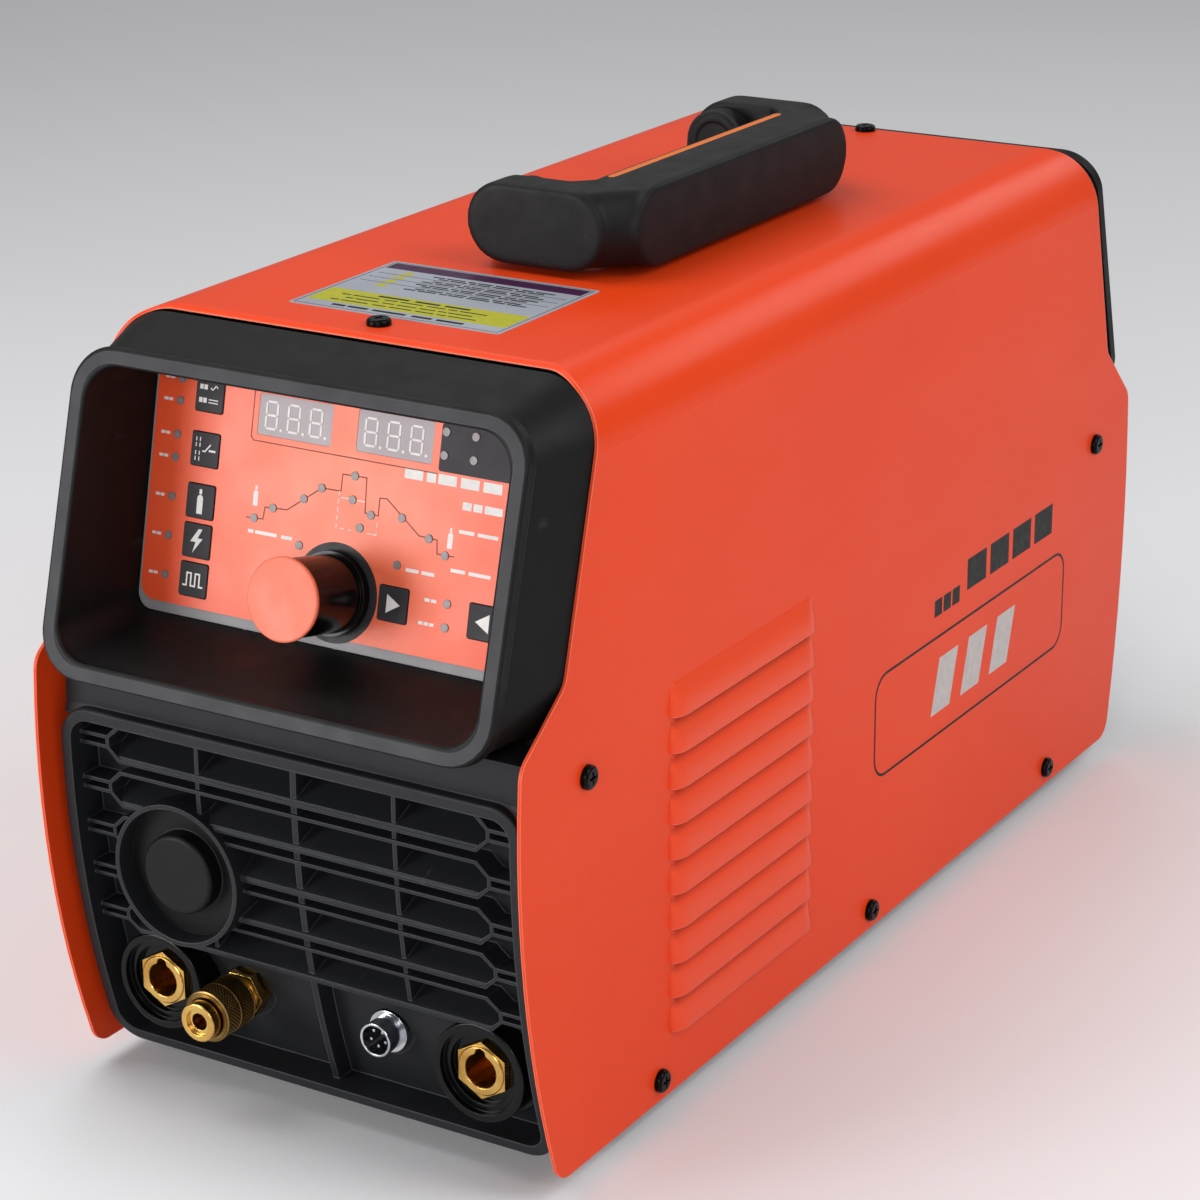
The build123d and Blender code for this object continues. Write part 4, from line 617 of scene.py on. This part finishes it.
def panel_graphics():
    """Everything printed on the overlay and behind the windows."""
    face = overlay_face()
    white = Print(face)
    for v in MODE_LIGHTS:
        words(white, -76.9, v, 4.2, 1.0, (1, 1))
    words(white, 43.0, 75.6, 40.0, 3.4, (2, 1, 2, 2, 2))
    words(white, 55.5, 68.2, 17.0, 2.6, (1, 1, 2))
    words(white, 55.0, 59.6, 17.0, 1.2, (3, 4))
    words(white, 33.5, 43.6, 12.5, 1.2, (3, 3))
    words(white, 53.5, 46.4, 17.5, 1.2, (2, 3))
    words(white, -28.6, 46.2, 19.5, 1.2, (1, 4, 2))
    words(white, 38.5, 35.0, 5.2, 1.1, (1, 1))
    words(white, 37.6, 27.0, 6.6, 1.1, (1, 1, 1))
    bottle(white, -36.3, 58.6, 7.0)
    bottle(white, 43.6, 56.8, 7.0)
    dash = [(-2.2, v) for v in (53.6, 56.4, 59.2, 62.0, 64.8)] + [(14.2, v) for v in (53.6, 56.4)]
    for u, v in dash:
        white.bar(u, v, 0.3, 1.5)
    for u in (0.2, 3.4, 11.2, 13.2):
        white.bar(u, 53.0, 1.7, 0.3)
    for u in (0.3, 6.9):
        white.bar(u, 63.4, 3.2, 0.3)
    white.finish("panel_print_white", "white")

    brown = Print(face)
    brown.line(CYCLE_LINE, 0.38)
    brown.line([(-40.6, 99.0), (-40.6, 78.4), (-39.4, 77.2), (36.0, 77.2)], 0.35)
    brown.finish("panel_print_brown", "brown")

    dark = Print(face)
    inner, outer = KNOB_RING
    sides = 48
    for i in range(sides):
        start, end = 360 * i / sides, 360 * (i + 1) / sides
        inward = arc(KNOB_CENTRE, inner, start, end, 1)
        dark.shape(arc(KNOB_CENTRE, outer, start, end, 1) + list(reversed(inward)))
    dark.finish("knob_ring_print", "charcoal")

    lit = Print(face)
    for u, v in DISPLAYS:
        digits(lit, u - 0.6, v)
    for u in (42.6, 54.6):
        for v in (91.4, 83.6):
            words(lit, u + 0.2, v, 4.0, 1.5, (1, 1))
    lit.finish("display_figures", "white")


def key_face(node):
    """The outer face of a key, with u and v measured from its middle."""
    panel = overlay_face()
    low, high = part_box(node)
    across = (low.x + high.x) / 2
    rise = sum(reach(node, panel.up)) / 2
    lift = reach(node, panel.out)[1]
    return Face(panel.right * across + panel.up * rise + panel.out * lift, panel.right, panel.up)


def triangle(ink, way):
    ink.shape([(-2.4 * way, -3.2 * way), (3.0 * way, 0.0), (-2.4 * way, 3.2 * way)])


def key_symbols():
    """White symbols on the eight keys, each riding on its key."""
    marks = {}

    def mark(node):
        marks[node] = Print(key_face(node))
        return marks[node]

    ink = mark("key_current_type")
    wave = [(x / 4, 2.6 + 0.7 * math.sin(x / 4 * math.pi / 1.5)) for x in range(-6, 7)]
    ink.line([(x + 1.8, y) for x, y in wave], 0.4)
    words(ink, -2.6, 2.6, 3.6, 1.7, (1, 1))
    words(ink, -2.6, -2.0, 3.6, 1.7, (1, 1))
    ink.bar(1.8, -1.6, 4.0, 0.35)
    ink.bar(1.8, -2.6, 4.0, 0.35)
    ink = mark("key_trigger_mode")
    for u in (-3.8, -2.2):
        for v in (-3.4, -1.4, 1.4, 3.4):
            ink.bar(u, v, 0.4, 1.4)
    ink.line([(-1.0, -0.6), (0.2, -0.6), (2.4, 2.0)], 0.5)
    ink.bar(3.2, -0.2, 2.8, 0.7)
    bottle(mark("key_gas_test"), 0.0, 0.0, 8.8)
    flash = [(0.6, 4.2), (-2.6, -0.5), (-0.3, -0.5), (-1.4, -4.4), (2.6, 0.9), (0.4, 0.9), (2.2, 4.2)]
    mark("key_arc_start").shape(flash)
    far, near, rise = 2.7, 0.9, 2.2
    pulse = [(-4.4, -rise), (-far, -rise), (-far, rise), (-near, rise), (-near, -rise)]
    pulse += [(near, -rise), (near, rise), (far, rise), (far, -rise), (4.4, -rise)]
    mark("key_pulse").line(pulse, 0.6)
    triangle(mark("key_step_forward"), 1)
    triangle(mark("key_step_back"), -1)
    triangle(mark("key_process"), -1)
    for node, ink in marks.items():
        ink.finish(node.replace("key_", "symbol_"), "white", node)


def label_print():
    """The notice on the cover's top: bands, ruled lines and blank triangles."""
    low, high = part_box("top_label")
    middle = (low + high) / 2
    face = Face((middle.x, middle.y, high.z), (1, 0, 0), (0, 1, 0))
    width, depth = (high.x - low.x) / MM, (high.y - low.y) / MM
    violet = Print(face)
    violet.bar(0, depth / 2 - 6.0, width - 5.0, 7.0)
    violet.finish("label_band_violet", "violet")
    lime = Print(face)
    lime.bar(0, -depth / 2 + 15.5, width - 5.0, 16.0)
    for row in range(4):
        lime.shape([(-31, 0.2 + row * 5.6), (-25.2, 0.2 + row * 5.6), (-28.1, 4.7 + row * 5.6)])
    lime.finish("label_band_lime", "lime")
    black = Print(face, INK)
    for row in range(4):
        for part in range(2):
            length = 52 - 7 * ((row + part) % 2)
            words(black, 8, 1.0 + row * 5.6 + part * 1.9, length, 0.8, (3, 5, 2, 4, 6, 3, 5))
    for row in range(3):
        words(black, -2, -depth / 2 + 10.5 + row * 3.6, 62 - 8 * (row % 2), 0.8, (2, 6, 3, 5, 4, 2, 6))
    words(black, 0, -depth / 2 + 20.8, 40, 1.5, (5, 4, 4))
    words(black, 0, -depth / 2 + 4.6, 56, 1.6, (2, 3, 5, 3, 4))
    black.finish("label_lines", "black")
    grey = Print(face)
    grey.line(rounded_outline(0, 0, width - 3.0, depth - 3.0, 0.6), 0.3, closed=True)
    for row in range(3):
        grey.bar(0, -0.7 + 5.6 * (row + 1), width - 8, 0.25)
    grey.finish("label_rules", "charcoal")


def side_print():
    """A generic badge on each side of the cover: slanted blocks in a rounded frame, and blocks above it."""
    for side, name in ((1, "right"), (-1, "left")):
        face = Face((side * WALL * MM, 0, 0), (0, side, 0), (0, 0, 1))
        black = Print(face)
        across = BADGE_Y * side
        black.line(rounded_outline(across, BADGE_Z, 176, 42, 9), 1.1, closed=True)
        words(black, across + 34.0 * side, 130.0, 86, 13.0, (1, 1, 1, 1))
        words(black, across - 26.0 * side, 124.5, 24, 7.0, (1, 1, 1))
        black.finish("side_print_black_" + name, "black")
        pale = Print(face)
        for place in (-1, 0, 1):
            pale.bar(across + place * 27.0, BADGE_Z, 17.0, 23.0, slant=3.5)
        pale.finish("side_print_pale_" + name, "grey")


# ---------------------------------------------------------------- moulded pieces

def stadium(first, last, across, radius, steps=14):
    """Outline of a long round-ended shape between two centres along one axis."""
    right = arc((last, across), radius, -90, 90, steps)
    left = arc((first, across), radius, 90, 270, steps)
    return right + left


def prism(mesh, outline, low, high, place):
    """Adds an outline between two depths; place turns (a, b, depth) into a point in millimetres."""
    near = [mesh.verts.new(Vector(place(a, b, low)) * MM) for a, b in outline]
    far = [mesh.verts.new(Vector(place(a, b, high)) * MM) for a, b in outline]
    mesh.faces.new(near)
    mesh.faces.new(list(reversed(far)))
    band(mesh, near, far)


def piece_from(mesh, name, finish_name, body):
    """Turns a bmesh into a piece with a finish, riding on a body."""
    piece = object_from(mesh, name)
    piece.data.materials.append(FINISHES[finish_name])
    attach(piece, body)
    return piece


def smooth(piece, angle):
    """Smooth shading, creased where faces meet at more than an angle in degrees."""
    piece.data.shade_smooth()
    piece.data.set_sharp_from_angle(angle=math.radians(angle))


def handle():
    """The carrying handle: two round-ended arms and a round-ended bar, blended at their corners."""
    low, high = (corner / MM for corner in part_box("handle_grip"))
    radius = (high.z - low.z) / 2
    axis_z = (high.z + low.z) / 2
    axis_x = low.x + radius
    mesh = bmesh.new()
    arm = stadium(axis_x, axis_x + ARM_LENGTH - 2 * radius, axis_z, radius)
    for front, back in ((low.y, low.y + ARM_DEPTH), (high.y - ARM_DEPTH, high.y)):
        prism(mesh, arm, front, back, lambda a, b, depth: (a, depth, b))
    bar = stadium(low.y + BAR_SETBACK + radius, high.y - BAR_SETBACK - radius, axis_z, radius)
    prism(mesh, bar, high.x - BAR_WIDTH, high.x, lambda a, b, depth: (depth, a, b))
    fillet = [(0, 0), (NECK, 0), (0, NECK)]
    inner_x = high.x - BAR_WIDTH
    sunk = 1
    for side, inner_y in ((1, low.y + ARM_DEPTH), (-1, high.y - ARM_DEPTH)):
        corner = [(inner_x + sunk - (a - sunk), inner_y + side * (b - sunk)) for a, b in fillet]
        prism(mesh, corner, axis_z - radius, axis_z + radius, lambda a, b, depth: (a, b, depth))
    arm_tip = axis_x + ARM_LENGTH - 2 * radius
    for side, end in ((1, low.y), (-1, high.y)):
        places = []
        for a, b in arc((arm_tip, axis_z), radius - NECK_INSET, -90, 90, 14):
            places += [(a, end + side * depth, b) for depth in (NECK_STEP, ARM_DEPTH)]
        for a, b in arc((BAR_SETBACK + radius, axis_z), radius - NECK_INSET, 90, 270, 14):
            places += [(high.x - depth, end + side * a, b) for depth in (NECK_STEP, BAR_WIDTH)]
        shell = [mesh.verts.new(Vector(place) * MM) for place in places]
        hull = bmesh.ops.convex_hull(mesh, input=shell)
        bmesh.ops.delete(mesh, geom=hull["geom_interior"], context="VERTS")
    grip = piece_from(mesh, "handle_moulding", "handle_plastic", "handle")
    blended = grip.modifiers.new("blended", "REMESH")
    blended.mode = "VOXEL"
    blended.voxel_size = VOXEL * MM
    blended.use_smooth_shade = True
    softened = grip.modifiers.new("softened", "SMOOTH")
    softened.factor = 0.5
    softened.iterations = 12
    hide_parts("handle_grip")


def drum_caps():
    """Dished caps over the hinge pins, on the inner faces of the two drums."""
    low, high = (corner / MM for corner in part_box("handle_pins"))
    middle = (low + high) / 2
    gap = min(abs(vertex.co.y / MM - middle.y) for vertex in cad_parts["handle_pins"].data.vertices)
    profile = [(7.6, 0.5), (8.6, 1.0), (10.6, 1.0), (11.4, 0.3), (11.4, -0.4)]
    sides = 48
    mesh = bmesh.new()
    for side in (-1, 1):
        rings = []
        for radius, rise in profile:
            y = middle.y + side * (gap - rise)
            ring = []
            for i in range(sides):
                turn = 2 * math.pi * i / sides
                place = Vector((middle.x + radius * math.cos(turn), y, middle.z + radius * math.sin(turn)))
                ring.append(mesh.verts.new(place * MM))
            rings.append(ring)
        mesh.faces.new(rings[0])
        mesh.faces.new(rings[-1])
        for inner, outer in zip(rings, rings[1:]):
            band(mesh, inner, outer)
    caps = piece_from(mesh, "drum_caps", "handle_plastic", "case")
    rounded = caps.modifiers.new("rounded", "BEVEL")
    rounded.width = 0.3 * MM
    rounded.segments = 2


def knob_face():
    """The orange face of the knob: a shallow dished disc that covers the whole end."""
    panel = overlay_face()
    low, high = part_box("knob_cap")
    across = (low.x + high.x) / 2
    rise = sum(reach("knob_cap", panel.up)) / 2
    front = max(reach("knob_cap", panel.out)[1], reach("control_knob", panel.out)[1])
    width = reach("control_knob", Vector((1, 0, 0)))
    radius = (width[1] - width[0]) / 2 / MM
    face = Face(panel.right * across + panel.up * rise + panel.out * front, panel.right, panel.up)
    profile = [(radius * 0.5, -0.12), (radius - 1.6, -0.1), (radius - 0.9, 0.0)]
    profile += [(radius - 0.35, -0.35), (radius - 0.3, -1.4)]
    sides = 64
    mesh = bmesh.new()
    rings = []
    for distance, lift in profile:
        ring = arc((0, 0), distance, 0, 360, sides)[:-1]
        rings.append([mesh.verts.new(face.point(*point, lift)) for point in ring])
    mesh.faces.new(rings[0])
    mesh.faces.new(rings[-1])
    for inner, outer in zip(rings, rings[1:]):
        band(mesh, inner, outer)
    disc = piece_from(mesh, "knob_face", "orange_cap", "knob")
    smooth(disc, 40)
    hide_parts("knob_cap")


def louvre_hoods():
    """The pressed skin of the louvres: each row swells out to its lip and is rounded down at both ends."""
    across, down = 40, 8
    front, back = LOUVRE_Y
    length = back - front
    root = WALL - LOUVRE_SUNK
    for side, name in ((1, "right"), (-1, "left")):
        mesh = bmesh.new()
        for row in range(LOUVRE_COUNT):
            foot = LOUVRE_FIRST_Z + LOUVRE_PITCH * row
            lines = []
            for j in range(down + 1):
                drop = j / down
                swell = math.sin(drop * math.pi / 2) ** 0.85
                line = []
                for i in range(across + 1):
                    spread = (1 - math.cos(math.pi * i / across)) / 2
                    from_end = min(spread, 1 - spread) * length
                    rounding = math.sqrt(1 - (1 - min(1, from_end / LOUVRE_END)) ** 2)
                    out = root + (LOUVRE_BULGE + LOUVRE_SUNK) * swell * rounding
                    height = foot + LOUVRE_HEIGHT * (1 - drop)
                    line.append(mesh.verts.new(Vector((side * out, front + spread * length, height)) * MM))
                lines.append(line)
            under = [mesh.verts.new(Vector((side * root * MM, lip.co.y, lip.co.z))) for lip in lines[-1]]
            for first, second in zip(lines, lines[1:] + [under]):
                for i in range(across):
                    mesh.faces.new((first[i], second[i], second[i + 1], first[i + 1]))
        bmesh.ops.remove_doubles(mesh, verts=mesh.verts, dist=0.01 * MM)
        hoods = piece_from(mesh, "louvre_hoods_" + name, "orange_paint", "case")
        # This finish paints a shadow under each lip and a paler tone on the rows.
        hoods.data.materials[0] = LOUVRE_SHADED_FINISH
        smooth(hoods, 50)


def knurled_sleeve():
    """The release sleeve of the gas connector, with a diamond knurl between smooth bands."""
    low, high = (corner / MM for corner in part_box("gas_sleeve"))
    middle = (low + high) / 2
    radius = (high.x - low.x) / 2
    length = high.y - low.y
    around, along = 240, 60
    mesh = bmesh.new()
    rings = []
    for j in range(along + 1):
        share = j / along
        skew = share * length * KNURL_TEETH / (2 * math.pi * radius)
        banded = share < 0.1 or 0.47 < share < 0.55 or share > 0.92
        stepped = share < 0.05 or share > 0.96
        ring = []
        for i in range(around):
            turn = 2 * math.pi * i / around
            tooth = i * KNURL_TEETH / around
            first, second = (abs(((tooth + lean) % 1.0) * 2 - 1) for lean in (skew, -skew))
            knurl = KNURL_HEIGHT * (1 - max(first, second) * 0.6 - min(first, second) * 0.4)
            distance = radius - (SLEEVE_BAND if banded else KNURL_ROOT - knurl)
            if stepped:
                distance = radius - SLEEVE_STEP
            x, z = middle.x + distance * math.cos(turn), middle.z + distance * math.sin(turn)
            ring.append(mesh.verts.new(Vector((x, low.y + share * length, z)) * MM))
        rings.append(ring)
    for inner, outer in zip(rings, rings[1:]):
        band(mesh, inner, outer)
    axis = middle * MM
    for ring in (rings[0], rings[-1]):
        mouth = []
        for corner in ring:
            x = axis.x + (corner.co.x - axis.x) * SLEEVE_BORE
            z = axis.z + (corner.co.z - axis.z) * SLEEVE_BORE
            mouth.append(mesh.verts.new((x, corner.co.y, z)))
        band(mesh, mouth, ring)
    sleeve = piece_from(mesh, "knurled_sleeve", "brass_dark", "gas_collar")
    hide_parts("gas_sleeve")


def contact_lips():
    """The round turned face of each weld contact, with the round key slot of its bore."""
    low, high = (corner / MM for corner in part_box("socket_contacts"))
    radius = (high.z - low.z) / 2
    height = (high.z + low.z) / 2
    across_flats = radius * math.sqrt(3) / 2
    for name, middle_x in (("left", low.x + across_flats), ("right", high.x - across_flats)):
        mesh = bmesh.new()
        sides = 96
        inner, outer = [], []
        for i in range(sides):
            turn = 2 * math.pi * i / sides
            distance = LIP_BORE
            sideways = LIP_BORE * math.cos(turn)
            if abs(sideways) < LIP_SLOT and math.sin(turn) > 0:
                distance = LIP_BORE * math.sin(turn) + math.sqrt(LIP_SLOT ** 2 - sideways ** 2)
            inner.append((distance * math.cos(turn), distance * math.sin(turn)))
            outer.append((LIP_RADIUS * math.cos(turn), LIP_RADIUS * math.sin(turn)))
        loops = []
        for outline, size, depth in (
            (outer, 1.0, 0.3), (outer, 1.0, -0.3), (outer, 0.95, -0.7),
            (inner, 1.05, -0.7), (inner, 1.0, -0.4), (inner, 1.0, 0.3),
        ):
            loop = []
            for a, b in outline:
                place = Vector((middle_x + a * size, low.y + depth, height + b * size))
                loop.append(mesh.verts.new(place * MM))
            loops.append(loop)
        for first, second in zip(loops, loops[1:] + loops[:1]):
            band(mesh, first, second)
        lip = piece_from(mesh, "contact_lip_" + name, "brass_bright", "case")
        smooth(lip, 35)


def bezel_rims():
    """The front face of each bezel's rim, with softly rounded edges, in a paler charcoal: a painted lighter
    tone for the light the rim catches, under the finish's scuffs.
    """
    for node, facing in (("front_bezel", 1), ("rear_bezel", -1)):
        up = Vector((0, facing * math.sin(RIM_LEAN), math.cos(RIM_LEAN)))
        right = Vector((facing, 0, 0))
        out = right.cross(up)
        front = reach(node, out)[1]
        points = [vertex.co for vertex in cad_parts[node].data.vertices]
        rim = [point for point in points if point.dot(out) > front - 0.1 * MM]
        foot = min(point.dot(up) for point in rim) - RIM_ROUNDING * MM
        base = Face(out * front + up * foot, right, up)
        outlines = []
        for inset, corner in ((RIM_EDGE, RIM_EDGE), (RIM_EDGE + RIM_FACE, RIM_INNER)):
            width, height = RIM_WIDTH - 2 * inset, RIM_HEIGHT - 2 * inset
            outlines.append(rounded_outline(0, RIM_HEIGHT / 2, width, height, RIM_CORNER - corner))
        outer, inner = outlines
        mesh = bmesh.new()
        loops = []
        for outline, lift in ((outer, -RIM_SUNK), (outer, RIM_LIFT), (inner, RIM_LIFT), (inner, -RIM_SUNK)):
            loops.append([mesh.verts.new(base.point(u, v, lift)) for u, v in outline])
        for first, second in zip(loops, loops[1:] + loops[:1]):
            band(mesh, first, second)
        face = piece_from(mesh, node.replace("bezel", "rim_face"), "charcoal_plastic", "case")
        face.data.materials[0] = RIM_LIT_FINISH


# ---------------------------------------------------------------- studio

def aim(thing, target):
    thing.rotation_euler = (Vector(target) - thing.location).to_track_quat("-Z", "Y").to_euler()


def camera():
    forward = Vector((
        -math.sin(CAMERA_YAW) * math.cos(CAMERA_PITCH),
        math.cos(CAMERA_YAW) * math.cos(CAMERA_PITCH),
        -math.sin(CAMERA_PITCH),
    ))
    level = Vector((math.cos(CAMERA_YAW), math.sin(CAMERA_YAW), 0))
    above = level.cross(forward)
    right = level * math.cos(CAMERA_ROLL) + above * math.sin(CAMERA_ROLL)
    up = above * math.cos(CAMERA_ROLL) - level * math.sin(CAMERA_ROLL)
    data = bpy.data.cameras.new("camera")
    data.lens = CAMERA_LENS
    data.sensor_width = 36.0
    seen = bpy.data.objects.new("camera", data)
    bpy.context.scene.collection.objects.link(seen)
    turn = Matrix((right, up, -forward)).transposed()
    seen.matrix_world = Matrix.Translation(CAMERA_PLACE) @ turn.to_4x4()
    bpy.context.scene.camera = seen


def studio():
    """Pale floor, soft boxes and an even surround."""
    data = bpy.data.meshes.new("floor")
    sheet = bmesh.new()
    bmesh.ops.create_grid(sheet, x_segments=4, y_segments=4, size=FLOOR_HALF)
    sheet.to_mesh(data)
    sheet.free()
    floor = bpy.data.objects.new("floor", data)
    bpy.context.scene.collection.objects.link(floor)
    data.materials.append(floor_finish())
    for name, (place, target, width, height, watts) in LIGHTS.items():
        light = bpy.data.lights.new(name, "AREA")
        light.shape = "RECTANGLE"
        light.size = width
        light.size_y = height
        light.energy = watts
        lamp = bpy.data.objects.new(name, light)
        lamp.location = place
        aim(lamp, target)
        bpy.context.scene.collection.objects.link(lamp)
    world = bpy.data.worlds.new("surround")
    bpy.context.scene.world = world
    world.use_nodes = True
    sky = world.node_tree.nodes["Background"]
    sky.inputs["Color"].default_value = chart(232, 233, 236)
    sky.inputs["Strength"].default_value = SURROUND
    bpy.context.scene.view_settings.view_transform = "Standard"


camera()
studio()
dress_frame()
panel_graphics()
key_symbols()
label_print()
side_print()
handle()
drum_caps()
knob_face()
louvre_hoods()
knurled_sleeve()
contact_lips()
bezel_rims()
